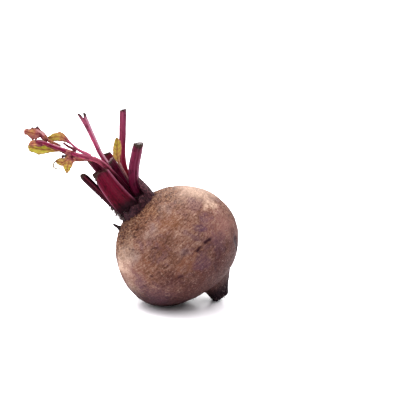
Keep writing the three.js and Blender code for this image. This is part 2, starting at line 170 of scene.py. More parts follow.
def steps(path):
    """The lengths of a path's steps."""
    return np.linalg.norm(np.diff(path, axis=0), axis=1)


def distances(path):
    """How far along a path each of its points is."""
    return np.concatenate([[0], np.cumsum(steps(path))])


def catmull_rom(points, count):
    """A centripetal Catmull-Rom curve: places and unit tangents at count steps, even in length."""
    p = np.array(points, float)
    p = np.vstack([2 * p[0] - p[1], p, 2 * p[-1] - p[-2]])
    places = []
    for a, b, c, d in zip(p, p[1:], p[2:], p[3:]):
        ab, bc, cd = (max(np.linalg.norm(y - x), 1e-6) ** 0.5 for x, y in ((a, b), (b, c), (c, d)))
        start = ((b - a) / ab - (c - a) / (ab + bc) + (c - b) / bc) * bc
        end = ((c - b) / bc - (d - b) / (bc + cd) + (d - c) / cd) * bc
        t = np.linspace(0, 1, CURVE_STEPS, endpoint=False)[:, None]
        places.append(
            b * (2 * t**3 - 3 * t**2 + 1)
            + c * (3 * t**2 - 2 * t**3)
            + start * (t**3 - 2 * t**2 + t)
            + end * (t**3 - t**2)
        )
    dense = np.vstack([*places, p[-2][None]])
    walked = distances(dense)
    at = np.linspace(0, walked[-1], count)
    curve = np.stack([np.interp(at, walked, dense[:, k]) for k in range(3)], axis=1)
    return curve, unit(np.gradient(curve, axis=0))


# ---- Meshes ------------------------------------------------------------------------------------------------


def placed(name, data):
    """A new object of the scene, which holds data."""
    made = bpy.data.objects.new(name, data)
    bpy.context.scene.collection.objects.link(made)
    return made


class Shape:
    """Points, faces and values at the points, in the beetroot's own frame, gathered for one mesh."""

    def __init__(self):
        self.points = np.zeros((0, 3))
        self.faces = []
        self.values = {}

    def add(self, points, faces, **values):
        start = len(self.points)
        self.points = np.vstack([self.points, points])
        self.faces += [[start + k for k in face] for face in faces]
        for name in sorted({*self.values, *values}):
            width = np.shape(values[name])[1:] if name in values else self.values[name].shape[1:]
            before = self.values.get(name, np.zeros((start, *width)))
            new = values.get(name, np.zeros((len(points), *width)))
            self.values[name] = np.concatenate([before, new])

    def add_grid(self, grid, closed=True, **values):
        """A grid of rings. Closed joins a ring's ends to each other and ends the grid in fans."""
        rings, sides = grid.shape[:2]
        faces = []
        for i in range(rings - 1):
            for j in range(sides if closed else sides - 1):
                k = (j + 1) % sides
                faces.append([i * sides + j, i * sides + k, (i + 1) * sides + k, (i + 1) * sides + j])
        points = grid.reshape(-1, 3)
        count = rings * sides
        flat = {name: np.reshape(value, (count, *np.shape(value)[2:])) for name, value in values.items()}
        if closed:
            for ring, end in ((0, count), (rings - 1, count + 1)):
                first = ring * sides
                faces += [[first + j, first + (j + 1) % sides, end] for j in range(sides)]
            points = np.vstack([points, grid[0].mean(0), grid[-1].mean(0)])
            for name, value in flat.items():
                ends = [value[:sides].mean(0)[None], value[-sides:].mean(0)[None]]
                flat[name] = np.concatenate([value, *ends])
        self.add(points, faces, **flat)

    def add_tube(self, places, radii, sides=6, **values):
        """A round tube along places, with one value of each name for the whole of it."""
        places = np.array(places, float)
        along = unit(np.gradient(places, axis=0))
        side = unit(np.cross(along, [0.31, 0.52, 0.79]))
        other = np.cross(along, side)
        angle = full_turn(sides)[..., None]
        radii = np.broadcast_to(radii, len(places))[:, None, None]
        grid = places[:, None] + radii * (np.cos(angle) * side[:, None] + np.sin(angle) * other[:, None])
        full = {name: np.full(grid.shape[:2], value) for name, value in values.items()}
        self.add_grid(grid, **full)

    def piece(self, name, node, material, thickness=None, flatten=False):
        """Makes the mesh object that stands for a CAD node. Flatten lays what is under the floor on it."""
        places = lay_down(self.points)
        self.values["own"] = self.points / CM
        if flatten:
            places[:, 2] = np.maximum(places[:, 2], 0)
        mesh = bpy.data.meshes.new(name)
        mesh.from_pydata(places.tolist(), [], self.faces)
        for key, value in self.values.items():
            kind = ("FLOAT_VECTOR", "vector") if value.ndim == 2 else ("FLOAT", "value")
            attribute = mesh.attributes.new(key, kind[0], "POINT")
            attribute.data.foreach_set(kind[1], value.astype(np.float32).ravel())
        self.turn_outwards(mesh)
        mesh.materials.append(material)
        made = placed(name, mesh)
        if thickness:
            solid = made.modifiers.new("thickness", "SOLIDIFY")
            solid.thickness = thickness / 1000
            solid.offset = 0
        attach(made, "root")
        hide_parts(node)

    @staticmethod
    def turn_outwards(mesh):
        work = bmesh.new()
        work.from_mesh(mesh)
        bmesh.ops.recalc_face_normals(work, faces=work.faces)
        work.to_mesh(mesh)
        work.free()
        mesh.shade_smooth()


# ---- Materials ---------------------------------------------------------------------------------------------


STUDIO_GAIN = 2.2  # how much brighter than a screen's white the studio's light makes a white surface


def paint(red, green, blue):
    """A colour as the studio's light shows it, from 0 to 255, to the share of light that it reflects."""
    shares = [value / 255 for value in (red, green, blue)]
    linear = [s / 12.92 if s <= 0.04045 else ((s + 0.055) / 1.055) ** 2.4 for s in shares]
    return (*[s / STUDIO_GAIN for s in linear], 1)


def painted(colour):
    """Three values from 0 to 255 as paint() makes them, and anything else as it is."""
    return paint(*colour) if isinstance(colour, tuple) and len(colour) == 3 else colour


class Nodes:
    """A node tree. Each method adds a node and returns its output."""

    def __init__(self, tree):
        self.tree = tree

    def node(self, kind, output, inputs, **settings):
        made = self.tree.nodes.new(kind)
        for name, value in settings.items():
            setattr(made, name, value)
        for socket, value in inputs.items():
            if isinstance(value, bpy.types.NodeSocket):
                self.tree.links.new(value, made.inputs[socket])
            else:
                made.inputs[socket].default_value = value
        return made.outputs[output]

    def value(self, name):
        return self.node("ShaderNodeAttribute", "Fac", {}, attribute_name=name)

    def vector(self, name):
        return self.node("ShaderNodeAttribute", "Vector", {}, attribute_name=name)

    def stretched(self, vector, scale):
        return self.node("ShaderNodeMapping", "Vector", {"Vector": vector, "Scale": scale})

    def shifted(self, vector, by):
        return self.node("ShaderNodeMapping", "Vector", {"Vector": vector, "Location": by})

    def noise(self, vector, scale, detail=4.0, roughness=0.55, distortion=0.0):
        inputs = {"Vector": vector, "Scale": scale, "Detail": detail, "Roughness": roughness}
        inputs["Distortion"] = distortion
        return self.node("ShaderNodeTexNoise", "Fac", inputs)

    def dots(self, vector, scale, size, share):
        """Scattered dots. Size is a share of a dot's cell, and share is that of the cells that hold one."""
        colour = self.node("ShaderNodeTexVoronoi", "Color", {"Vector": vector, "Scale": scale})
        chosen = self.maths("LESS_THAN", self.parts(colour)[0], share)
        near = self.window(colour.node.outputs["Distance"], size, 0.4 * size)
        return self.maths("MULTIPLY", chosen, near)

    def maths(self, operation, a, b):
        return self.node("ShaderNodeMath", 0, {0: a, 1: b}, operation=operation)

    def window(self, value, low, high, to_low=0.0, to_high=1.0):
        """Value from low to high, to 0 to 1 or another range, clamped and eased."""
        inputs = {"Value": value, "From Min": low, "From Max": high, "To Min": to_low, "To Max": to_high}
        return self.node("ShaderNodeMapRange", "Result", inputs, interpolation_type="SMOOTHSTEP")

    def mixed(self, share, a, b, blend="MIX"):
        inputs = {0: share, 6: painted(a), 7: painted(b)}
        return self.node("ShaderNodeMix", 2, inputs, data_type="RGBA", blend_type=blend)

    def tinted(self, colour, tint, value, low, high, most=1.0):
        """A colour turned towards a tint, by up to most of it, as value goes from low to high."""
        return self.mixed(self.window(value, low, high, 0.0, most), colour, tint)

    def overlaid(self, colour, tint, value, share):
        """A colour turned towards a tint by a share of value."""
        return self.mixed(self.maths("MULTIPLY", value, share), colour, tint)

    def ramp(self, value, *stops):
        made = self.tree.nodes.new("ShaderNodeValToRGB")
        self.tree.links.new(value, made.inputs[0])
        elements = made.color_ramp.elements
        while len(elements) < len(stops):
            elements.new(0.5)
        for element, (place, colour) in zip(elements, stops):
            element.position = place
            element.color = painted(colour)
        return made.outputs[0]

    def bump(self, height, depth_mm, strength=1.0):
        inputs = {"Height": height, "Distance": depth_mm / 1000, "Strength": strength}
        return self.node("ShaderNodeBump", 0, inputs)

    def parts(self, vector):
        """X, Y and Z of a vector."""
        return tuple(self.node("ShaderNodeSeparateXYZ", 0, {0: vector}).node.outputs)

    def total(self, *terms):
        """The sum of terms, each a value or (value, share of it)."""
        parts = [self.maths("MULTIPLY", *term) if isinstance(term, tuple) else term for term in terms]
        result = parts[0]
        for part in parts[1:]:
            result = self.maths("ADD", result, part)
        return result


class Finish(Nodes):
    """One material."""

    def __init__(self, name, **shader):
        self.material = bpy.data.materials.new(name)
        self.material.use_nodes = True
        super().__init__(self.material.node_tree)
        self.shader = self.tree.nodes["Principled BSDF"]
        for socket, value in shader.items():
            self.shader.inputs[socket.replace("_", " ")].default_value = value

    def connect(self, **sockets):
        for socket, value in sockets.items():
            self.tree.links.new(value, self.shader.inputs[socket.replace("_", " ")])
        return self.material


# ---- Root --------------------------------------------------------------------------------------------------


def root_radius(height):
    reach = np.abs(np.where(height > 0, height / BULB_TOP, height / BULB_BOTTOM))
    power = np.where(height > 0, SHOULDER_POWER, BELLY_POWER)
    bulb = BULB_DIAMETER / 2 * np.sqrt(np.maximum(0, 1 - reach**power))
    neck = np.maximum(0, NECK_RADIUS - NECK_TAPER * np.maximum(0, height - CROWN))
    neck = neck * np.minimum(1, np.exp((height - CROWN) / NECK_FADE))
    tail = TAIL_RADIUS * np.exp((np.minimum(height, TAIL_TOP) - TAIL_CUT) / TAIL_FLARE)
    return np.where(height > 0, smooth_max(bulb, neck, NECK_FILLET), smooth_max(bulb, tail, TAIL_FILLET))


def lump(angle, height):
    total = np.ones(np.broadcast(angle, height).shape)
    for size, crests, turn, at, spread in LUMPS:
        fade = 1 if at is None else bell(height, at, spread)
        total = total + size * np.cos(crests * angle + turn) * fade
    return total


def axis_drift(height):
    sideways = AXIS_OFFSET + sum(by * bell(height, at, spread) for by, at, spread in STRAYS)
    down = np.clip((SWEEP_START - height) / SWEEP_SPAN, 0, 1.3)
    return sideways, TAIL_SWEEP * down**2


def root_outline():
    """Radius, height and distance along it of the root's outline, from the crown's top to the tail's end."""
    top = CROWN + NECK_HEIGHT
    height = np.linspace(top, -TAIL_LENGTH, OUTLINE_STEPS)
    radius = root_radius(height)
    dome = np.linspace(0, 1, OUTLINE_END_STEPS)[:, None] * [radius[0], -NECK_DOME] + [0, top + NECK_DOME]
    end = np.linspace(1, 0, OUTLINE_END_STEPS)[:, None] * [radius[-1], 0] + [0, -TAIL_LENGTH]
    outline = np.vstack([dome, np.stack([radius, height], 1), end])
    walked = distances(outline)
    at = np.linspace(OUTLINE_END, walked[-1] - OUTLINE_END, SKIN_RINGS)
    return np.interp(at, walked, outline[:, 0]), np.interp(at, walked, outline[:, 1]), at


def surface_point(angle, height):
    """A point of the smooth root, from an angle in degrees and a height."""
    a = np.radians(angle)
    radius = root_radius(np.array(float(height))) * lump(a, height)
    sideways, back = axis_drift(height)
    return np.array([radius * math.cos(a) + sideways, radius * math.sin(a) + back, height])


# Dents and cracks in the skin: where each runs from and to, as (angle, height), its width, its depth and how
# dark it is.
MARKS = [
    ((-104.5, 18.4), (-100.7, 18), 0.9, 0.35, 0.9),
    ((-100.7, 18), (-98.2, 16.7), 0.8, 0.35, 0.9),
    ((-59.6, -0.6), (-64.6, -0.1), 1.5, 0.6, 1),
    ((-64, -0.6), (-71.6, 0.2), 0.6, 0.2, 0.2),
    ((-70.6, 0.1), (-74.8, 0), 1.3, 0.45, 0.95),
    ((-80.5, 4.6), (-85.5, 3.8), 1.7, 0.2, 0.45),
    ((-86, 3.8), (-93.5, 2.4), 1.3, 0.2, 0.35),
    ((-121, 6.2), (-119.5, 5.4), 1.1, 0.3, 0.7),
    ((-100.5, -4.6), (-98.5, -5.4), 1.3, 0.35, 0.8),
    ((-135.5, 2.8), (-134, 1.8), 1.2, 0.3, 0.7),
    ((-29.9, -16), (-25, -23), 3.4, 0.6, 1),
    ((-88, -28.7), (-66, -25), 0.5, 0.25, 0.7),
    ((-71.6, -19.5), (-70.5, -14), 1.2, 0.3, 0.6),
    ((-58, -10), (-63, -14), 1.2, 0.3, 0.45),
    ((-66, -13), (-69, -17), 1.3, 0.3, 0.4),
    ((-52, -9), (-55, -12), 1, 0.25, 0.4),
    ((-95, 34.6), (-84, 33.6), 0.9, 0.4, 0.6),
    ((-112, 31), (-103, 30), 0.8, 0.35, 0.6),
    ((-122, 29.5), (-116, 28.2), 0.8, 0.35, 0.55),
    ((-86, 30), (-78, 29.4), 0.7, 0.3, 0.5),
    ((-132, 25), (-126, 23.5), 0.8, 0.3, 0.5),
]


# Soft patches of colour in the skin, by tint: angle, height, reach and strength. The pale and grey ones are
# partly lighter skin and partly painted sheen.
PATCHES = {
    "rust": [(-72, 23, 8, 0.9), (-76, 33.5, 5.5, 0.9), (-119, 10.5, 8, 0.5), (-90, 0, 8, 0.5),
        (-84, -0.5, 5, 0.8), (-108, 34, 5, 0.8), (-128, 30, 5, 0.7)],
    "grey": [(-97, 26, 6, 0.5), (-131.5, 20, 5.5, 0.9), (-64, 30.6, 6, 0.6), (-84, 4.6, 4, 0.5)],
    "pale": [(-152, 22, 11, 1), (-136, 27, 7, 0.6), (-150, 8, 9, 0.3), (-27, 11, 6, 1), (-8, 22, 12, 0.5)],
    "rosy": [(-38, -3, 10, 0.9), (-50, 2, 8, 0.6), (-30, 4, 8, 0.6), (-24, -8, 8, 0.6),
        (-140, 12, 9, 0.5)],
    "violet": [(-59.6, 7.4, 5, 0.95), (-47, 9, 5, 0.8), (-40.5, 19.4, 6, 0.5), (-54, -6, 8, 0.5),
        (-82, 3, 5, 0.6), (-139, 5, 7, 0.6), (-79, -8, 6, 0.6), (-132, -9, 11, 0.5)],
    "dusk": [(-111, -3, 8, 0.8), (-62, -13, 6, 0.8), (-79, -17, 6, 0.7), (-120, 34, 5, 0.8),
        (-91, 36.7, 5, 0.8), (-33, -17, 8, 1), (-105, -20, 14, 0.7)],
}
TINTS = tuple(PATCHES)
HIDDEN_PATCHES = 26


def all_patches():
    """The patches of the side that the photo shows, and others strewn over the side that it doesn't."""
    draw = random.Random(11)
    ranges = ((5, 185), (-24, 32), (5, 11), (0.4, 0.9))  # angle, height, reach and strength
    strewn = []
    for _ in range(HIDDEN_PATCHES):
        strewn.append((draw.choice(TINTS), *[draw.uniform(low, high) for low, high in ranges]))
    return [(tint, *patch) for tint, patches in PATCHES.items() for patch in patches] + strewn


def tint_strengths(own):
    """How strongly each tint of the patches colours each point of the skin."""
    wander = np.stack([4.5 * field(own, 7, seed=s, octaves=5) for s in (24, 25, 26)], axis=-1)
    strengths = {tint: np.zeros(own.shape[:-1]) for tint in TINTS}
    for tint, angle, height, reach, strength in all_patches():
        away = np.linalg.norm(own + wander - surface_point(angle, height), axis=-1)
        strengths[tint] = np.maximum(strengths[tint], strength * smoothstep(1.35, 0.45, away / reach))
    return strengths


def mark_depths(own):
    """How deep each point of the skin lies in a mark, in millimetres, and how dark the mark makes it."""
    depth = np.zeros(own.shape[:-1])
    darkness = np.zeros(own.shape[:-1])
    wander = 0.5 * field(own, 2.5, seed=21, octaves=3)
    for start, end, width, deep, dark in MARKS:
        a, b = surface_point(*start), surface_point(*end)
        share = np.clip((own - a) @ (b - a) / ((b - a) @ (b - a)), 0, 1)
        away = np.linalg.norm(own - (a + share[..., None] * (b - a)), axis=-1) + wander
        hit = smoothstep(width, 0.25 * width, away)
        depth = np.maximum(depth, deep * hit)
        darkness = np.maximum(darkness, dark * hit)
    return depth, darkness


def grid_normals(grid):
    down = np.gradient(grid, axis=0)
    around = np.roll(grid, -1, axis=1) - np.roll(grid, 1, axis=1)
    return unit(np.cross(down, around))


def build_root():
    radius, height, walked = root_outline()
    angle = full_turn(SKIN_SIDES)
    height, radius, walked = height[:, None], radius[:, None], walked[:, None]
    sideways, back = axis_drift(height)
    swell = radius * lump(angle, height)
    tall = np.broadcast_to(height, swell.shape)
    own = together(swell * np.cos(angle) + sideways, swell * np.sin(angle) + back, tall)
    ring = together(np.cos(angle), np.sin(angle), walked / CM)

    wander = field(own, 9, seed=3)
    leftwards = smoothstep(5, 32, -own[..., 0])
    corky = smoothstep(23, 36, tall + 5 * wander + 7 * leftwards)
    collar = smoothstep(36.4, 39.4, tall + 3 * field(own, 4, seed=4))
    # How far down each point lies as the root lies, in centimetres. skin_finish() darkens the underside by
    # it, partly the skin's own tone and partly painted shade, and paints the top paler by it, which is
    # painted light.
    low = -own @ TO_ROW[2] / CM
    tail = smoothstep(-32, -39, tall + 2 * wander)
    in_mark, darkness = mark_depths(own)
    hoops = ridges(ring * [6, 6, 9], 2, seed=5)
    relief = 0.5 * field(own, 24, seed=1, octaves=2) + 0.16 * field(own, 5, seed=2)
    relief = relief + 0.1 * (hoops - 0.5) * (1 - tail)
    relief = relief + corky * (ridges(ring * [9, 9, 14], 2.4, seed=6) - 0.5)
    relief = relief + 0.9 * collar * (ridges(ring * [14, 14, 6], 2.5, seed=7) - 0.5)
    relief = relief + 0.5 * tail * (ridges(ring * [5, 5, 2], 1.6, seed=8) - 0.5)
    own = own - grid_normals(own) * (relief - in_mark)[..., None] * outward_sign(own)

    cut_depth = (own - np.array([*axis_drift(TAIL_CUT), TAIL_CUT])) @ unit(np.array(TAIL_CUT_NORMAL))
    torn = 0.35 * field(own * [1, 1, 0], 2.2, seed=9)
    beyond = np.maximum(0, cut_depth - torn)
    own[..., 2] = own[..., 2] + beyond / abs(TAIL_CUT_NORMAL[2])

    shape = Shape()
    shape.add_grid(
        own,
        ring=ring,
        corky=corky,
        collar=collar,
        tail=tail,
        low=low,
        mark=darkness,
        cut=smoothstep(0, 0.3, beyond),
        **tint_strengths(own),
    )
    shape.piece("root_skin", "root", skin_finish(), flatten=True)


def outward_sign(grid):
    """1 where grid_normals() points into the root, and -1 where it points out."""
    middle = grid.mean(axis=1, keepdims=True)
    inwards = np.sum(grid_normals(grid) * (middle - grid), axis=-1).mean()
    return 1 if inwards > 0 else -1


def skin_finish():
    f = Finish("beetroot_skin", Roughness=0.55, Specular_IOR_Level=0.04)
    own, ring = f.vector("own"), f.vector("ring")
    corky, collar, tail = f.value("corky"), f.value("collar"), f.value("tail")

    broad = f.noise(own, 0.5, detail=3)
    clouds = f.noise(own, 1.4, detail=5, roughness=0.6, distortion=0.6)
    fine = f.noise(own, 7.5, detail=5, roughness=0.75)
    strokes = f.noise(f.stretched(ring, (5, 5, 6.5)), 1.0, detail=5, roughness=0.7, distortion=0.9)
    ruddy = f.noise(f.shifted(own, (9, 4, 2)), 0.9, detail=5, roughness=0.62, distortion=0.8)
    dusky = f.noise(f.shifted(own, (3, 8, 6)), 1.0, detail=5, roughness=0.62, distortion=0.8)
    grain = f.noise(f.stretched(ring, (26, 26, 11)), 1.0, detail=3, roughness=0.75, distortion=0.4)

    tone = f.total((broad, 0.3), (clouds, 0.4), (strokes, 0.7), (fine, 0.5), (grain, 0.3), -0.62)
    colour = f.ramp(
        tone,
        (0.3, (84, 50, 40)), (0.42, (118, 78, 62)), (0.52, (146, 104, 88)), (0.63, (178, 138, 120)),
        (0.76, (214, 180, 160)),
    )
    colour = f.tinted(colour, (146, 92, 74), ruddy, 0.5, 0.7, 0.5)
    colour = f.tinted(colour, (118, 84, 90), dusky, 0.5, 0.68, 0.55)

    _, _, z = f.parts(own)
    # Dark purplish towards the tail, in the root's own frame, and towards the underside as the root lies,
    # which is partly the skin's own tone and partly painted shade.
    tailwards = f.window(f.total((z, -0.5), (clouds, 1.6), -0.8), -0.3, 1.3, 0.0, 0.75)
    underside_tone_and_shade = f.window(f.total(f.value("low"), (clouds, 1.2), -0.6), 1.2, 2.9, 0.0, 0.95)
    purplish_and_painted_shade = f.maths("MAXIMUM", tailwards, underside_tone_and_shade)
    deep = f.tinted((46, 20, 28), (94, 56, 58), fine, 0.35, 0.65)
    colour = f.mixed(purplish_and_painted_shade, colour, deep)

    # Painted light: the top of the root as it lies is painted paler, as if lit from above.
    painted_top_light = f.window(f.total(f.value("low"), (clouds, 0.9), -0.45), -3.0, -4.3, 0.0, 0.55)
    colour = f.mixed(painted_top_light, colour, f.mixed(0.6, colour, (250, 222, 204)))

    tints = {
        "rust": ((150, 98, 66), 0.5),
        "grey": ((176, 152, 142), 0.6),
        "pale": ((248, 212, 186), 0.7),
        "rosy": ((178, 124, 116), 0.6),
        "violet": ((104, 70, 88), 0.8),
        "dusk": ((88, 48, 48), 0.6),
    }
    # The pale and grey tints, partly painted sheen, show most on the lighter tones.
    for name, (tint, most) in tints.items():
        on_dark, on_light = (0.5, 1.3) if name in ("pale", "grey") else (1.2, 0.6)
        uneven = f.window(tone, 0.3, 0.65, most * on_dark, most * on_light)
        colour = f.overlaid(colour, tint, f.value(name), uneven)

    bark = f.noise(f.stretched(ring, (6.5, 6.5, 8)), 1.0, detail=5, roughness=0.72, distortion=1.2)
    bark_colour = f.ramp(
        f.total((bark, 1.4), (fine, 0.4), -0.42),
        (0.38, (58, 30, 26)), (0.47, (116, 70, 50)), (0.56, (158, 110, 82)), (0.68, (210, 170, 140)),
    )
    colour = f.overlaid(colour, bark_colour, corky, 0.75)

    shaded = f.mixed(1.0, colour, (0.4, 0.3, 0.3, 1), "MULTIPLY")
    lit = f.mixed(0.5, colour, (232, 200, 184))
    colour = f.tinted(colour, shaded, grain, 0.46, 0.34, 0.6)
    colour = f.tinted(colour, lit, grain, 0.56, 0.7, 0.5)
    colour = f.overlaid(colour, shaded, f.dots(own, 5.5, 0.36, 0.2), 0.55)
    colour = f.overlaid(colour, shaded, f.dots(own, 10, 0.42, 0.25), 0.6)
    colour = f.overlaid(colour, lit, f.dots(own, 8.5, 0.42, 0.1), 0.4)

    dark_collar = f.tinted((20, 6, 12), (60, 28, 36), bark, 0.35, 0.65)
    colour = f.mixed(collar, colour, dark_collar)
    dark_tail = f.tinted((26, 12, 16), (66, 44, 52), fine, 0.35, 0.65)
    colour = f.mixed(tail, colour, dark_tail)
    colour = f.mixed(f.value("mark"), colour, (58, 26, 34))
    colour = f.mixed(f.value("cut"), colour, f.mixed(fine, (22, 10, 12), (60, 38, 38)))

    height = f.total((grain, 0.6), (fine, 0.8), (strokes, 0.6))
    normal = f.bump(height, 0.5, strength=0.7)
    roughness = f.window(purplish_and_painted_shade, 0.0, 0.7, 0.68, 0.6)
    return f.connect(Base_Color=colour, Normal=normal, Roughness=roughness)


# ---- Crown: old leaf bases, dead side roots and hairs ------------------------------------------------------

# Old leaf bases round the neck: angle, height, width and how far each tip leans in for a millimetre of
# height.
SCALES = [
    (-22, 14.6, 10.5, -0.12),
    (26, 7, 9, 0.1),
    (66, 5.5, 9, 0.1),
    (105, 7.5, 9, 0.06),
    (146, 4.8, 9, 0.1),
    (186, 3.8, 9, 0.1),
    (224, 2.6, 8, 0.1),
    (262, 3, 9, 0.1),
    (303, 4.2, 9, 0.1),
    (-4, 8.6, 9, -0.02),
]
SCALE_THICKNESS = 1.4
SCALE_FOOT = -4
SCALE_SUNK = 1
SCALE_STAGGER = 0.8
SCALE_RINGS, SCALE_SIDES = 26, 28
SCALE_BELLY = 0.05  # how far a leaf base bulges, as a share of its height


def add_scale(shape, index, angle, height, width, lean):
    """One old leaf base: a pointed plate bent round the neck, thick at its foot, with ragged edges."""
    share = np.linspace(0, 1, SCALE_RINGS)[:, None]
    around = full_turn(SCALE_SIDES)
    up = mix(SCALE_FOOT, height, share)
    taper = np.clip(up / height, 0, 1)
    half = width / 2 * (1 - 0.9 * taper**2.1)
    spot = together(np.cos(around), np.sin(around), up)
    ragged = 1 + 0.12 * field(spot, 2.2, seed=31 + index)
    across = half * np.cos(around) * ragged
    depth = SCALE_THICKNESS * (1 - 0.6 * taper) * np.sin(around) * (0.5 + 0.1 * ragged)
    middle = NECK_RADIUS - SCALE_SUNK + (index % 2) * SCALE_STAGGER + SCALE_THICKNESS / 2
    belly = SCALE_BELLY * height * np.sin(math.pi * taper)
    radius = middle + depth + belly - lean * np.maximum(0, up) + 0.5 * (across / width) ** 2
    turn = math.radians(angle) + across / NECK_RADIUS
    grid = together(radius * np.cos(turn), radius * np.sin(turn), CROWN + up)
    grid = grid + 0.25 * field(grid, 2.5, seed=41 + index)[..., None] * unit(grid * [1, 1, 0])
    shape.add_grid(grid, reach=np.full(grid.shape[:2], float(height)))


def build_scales():
    shape = Shape()
    for index, scale in enumerate(SCALES):
        add_scale(shape, index, *scale)
    shape.piece("old_leaf_bases", "root", scale_finish())


def scale_finish():
    f = Finish("old_leaf_base", Roughness=0.62, Specular_IOR_Level=0.08)
    own = f.vector("own")
    mottle = f.noise(own, 7, detail=6, roughness=0.7)
    streaks = f.noise(f.stretched(own, (9, 9, 1.6)), 2.4, detail=4)
    colour = f.ramp(
        mottle,
        (0.34, (30, 6, 18)), (0.48, (78, 30, 46)), (0.6, (130, 74, 84)), (0.74, (184, 138, 138)),
    )
    colour = f.tinted(colour, (26, 8, 16), streaks, 0.5, 0.36, 0.75)
    colour = f.tinted(colour, (150, 104, 108), streaks, 0.58, 0.72, 0.5)
    short = f.window(f.value("reach"), 7.0, 12.0, 0.45, 0.0)
    colour = f.mixed(short, colour, (22, 8, 14))
    normal = f.bump(f.maths("ADD", mottle, streaks), 0.6, strength=0.8)
    return f.connect(Base_Color=colour, Normal=normal)


# Dead side roots: where each starts and ends, and its thickness.
SPIKES = [
    ((-17.4, -1, 33.2), (-19.3, -1, 39.8), 5),
    ((-12, -3, 37), (-13.6, -3.4, 40.1), 3.4),
]
SPIKE_SUNK = 2


def build_spikes():
    shape = Shape()
    for index, (start, end, thickness) in enumerate(SPIKES):
        start, end = np.array(start, float), np.array(end, float)
        along = unit(end - start)
        bend = 0.5 * np.array([0.4, -1, 0.2])
        share = np.linspace(0, 1, 18)[:, None]
        places = mix(start - SPIKE_SUNK * along, end, share) + bend * np.sin(math.pi * share)
        radii = thickness / 2 * (1 - 0.78 * share[:, 0] ** 0.8)
        radii = radii * (1 + 0.12 * np.sin(17 * share[:, 0] + index))
        shape.add_tube(places, radii, sides=12)
    shape.piece("dead_side_roots", "root", dry_finish("dead_root", (20, 14, 16), (66, 52, 50)))


HAIR_STEPS = 7
COLLAR_FIBRES = 150
STREWN_HAIRS = 90


def dry_finish(name, dark, light):
    """Dried plant matter: two tones, dull and rough."""
    f = Finish(name, Roughness=0.75, Specular_IOR_Level=0.1)
    own = f.vector("own")
    mottle = f.noise(own, 12, detail=5, roughness=0.65)
    colour = f.tinted(dark, light, mottle, 0.35, 0.65)
    return f.connect(Base_Color=colour, Normal=f.bump(mottle, 0.3, strength=0.8))


def add_hair(shape, draw, start, direction, length, radius, curl):
    """A thin hair that bends at random as it goes."""
    places = [np.array(start, float)]
    heading = unit(np.array(direction, float))
    for _ in range(HAIR_STEPS):
        heading = unit(heading + curl * np.array([draw.gauss(0, 1) for _ in range(3)]))
        places.append(places[-1] + heading * length / HAIR_STEPS)
    shape.add_tube(places, np.linspace(radius, radius * 0.35, HAIR_STEPS + 1), sides=5)


def build_collar_fibres():
    """The torn fibres between the neck and the shoulder."""
    draw = random.Random(5)
    shape = Shape()
    for _ in range(COLLAR_FIBRES):
        angle = draw.uniform(0, 2 * math.pi)
        outwards = np.array([math.cos(angle), math.sin(angle), 0])
        foot = surface_point(math.degrees(angle), draw.uniform(37.2, 39.5)) - 0.4 * outwards
        direction = outwards * draw.uniform(0.1, 0.9) + np.array([0, 0, draw.uniform(0.3, 1.1)])
        add_hair(shape, draw, foot, direction, draw.uniform(0.9, 3), draw.uniform(0.12, 0.34), 0.25)
    shape.piece("collar_fibres", "root", dry_finish("collar_fibre", (34, 20, 22), (92, 66, 58)))


# Tufts of fine dead hairs: angle and height of each on the root, how far it spreads, how many hairs it
# has, how long they are and how far they stand off the skin.
TUFTS = [
    (-3, 38, 2.4, 60, 2.6, 0.8),
    (-160, 38.6, 2.4, 60, 3, 0.9),
    (-8, 33, 5, 20, 1.4, 0.6),
    (10, 30, 8, 26, 1.3, 0.6),
    (-60, -40, 4, 10, 3, 0.9),
    (-116, -24.5, 3, 5, 3.4, 1),
    (-70, -34, 6, 10, 1.8, 0.8),
    (100, 37, 8, 30, 2.4, 0.7),
    (150, -30, 9, 14, 2.4, 0.8),
]


# Rows of fuzz on the outer left stalk's foot: the ends of each, from the crown's foot, how many hairs it
# has and how long they are.
FUZZ = [
    ((-12.9, -4.6, 12), (-11.6, -5.4, 0), 90, 1.5),
    ((-12.4, -5.4, 5), (-11, -6, -0.5), 50, 2),
]
# Two long hairs of it: where each starts and ends, from the crown's foot.
LONG_HAIRS = [((-11.6, -5, 6), (-16.4, -5, 2.4)), ((-12.2, -4, 20), (-13.6, -4.6, 17.6))]


def build_hairs():
    """Fine pale hairs: tufts of them, some strewn over the whole skin, rows of fuzz, and two long ones."""
    draw = random.Random(8)
    shape = Shape()
    strewn = [(draw.uniform(-180, 180), draw.uniform(-30, 36), 1, 1, 1.2, 0.5) for _ in range(STREWN_HAIRS)]
    for angle, height, spread, count, length, stand in TUFTS + strewn:
        for _ in range(count):
            radius = max(5, float(root_radius(np.array(height))))
            around = angle + math.degrees(draw.gauss(0, spread) / radius)
            foot = surface_point(around, height + draw.gauss(0, spread) * 0.6)
            outwards = unit(foot * [1, 1, 0.4])
            along = np.array([draw.gauss(0, 1), draw.gauss(0, 1), draw.gauss(0.3, 0.8)])
            direction = stand * outwards + (1 - stand * 0.5) * unit(along)
            reach = length * draw.uniform(0.6, 1.3)
            add_hair(shape, draw, foot - 0.5 * outwards, direction, reach, draw.uniform(0.1, 0.22), 0.22)
    for first, last, count, length in FUZZ:
        for _ in range(count):
            foot = mix(from_crown(first), from_crown(last), draw.random())
            foot = foot + [draw.gauss(0, 0.5) for _ in range(3)]
            direction = [draw.gauss(-1.1, 0.6), draw.gauss(-0.3, 0.6), draw.gauss(-0.5, 0.6)]
            reach = length * draw.uniform(0.6, 1.3)
            add_hair(shape, draw, foot, direction, reach, draw.uniform(0.12, 0.24), 0.22)
    for first, last in LONG_HAIRS:
        start, end = from_crown(first), from_crown(last)
        add_hair(shape, draw, start, end - start, np.linalg.norm(end - start), 0.55, 0.05)
    finish = dry_finish("fine_hair", (84, 64, 68), (186, 164, 160))
    shape.piece("fine_hairs", "root", finish, flatten=True)
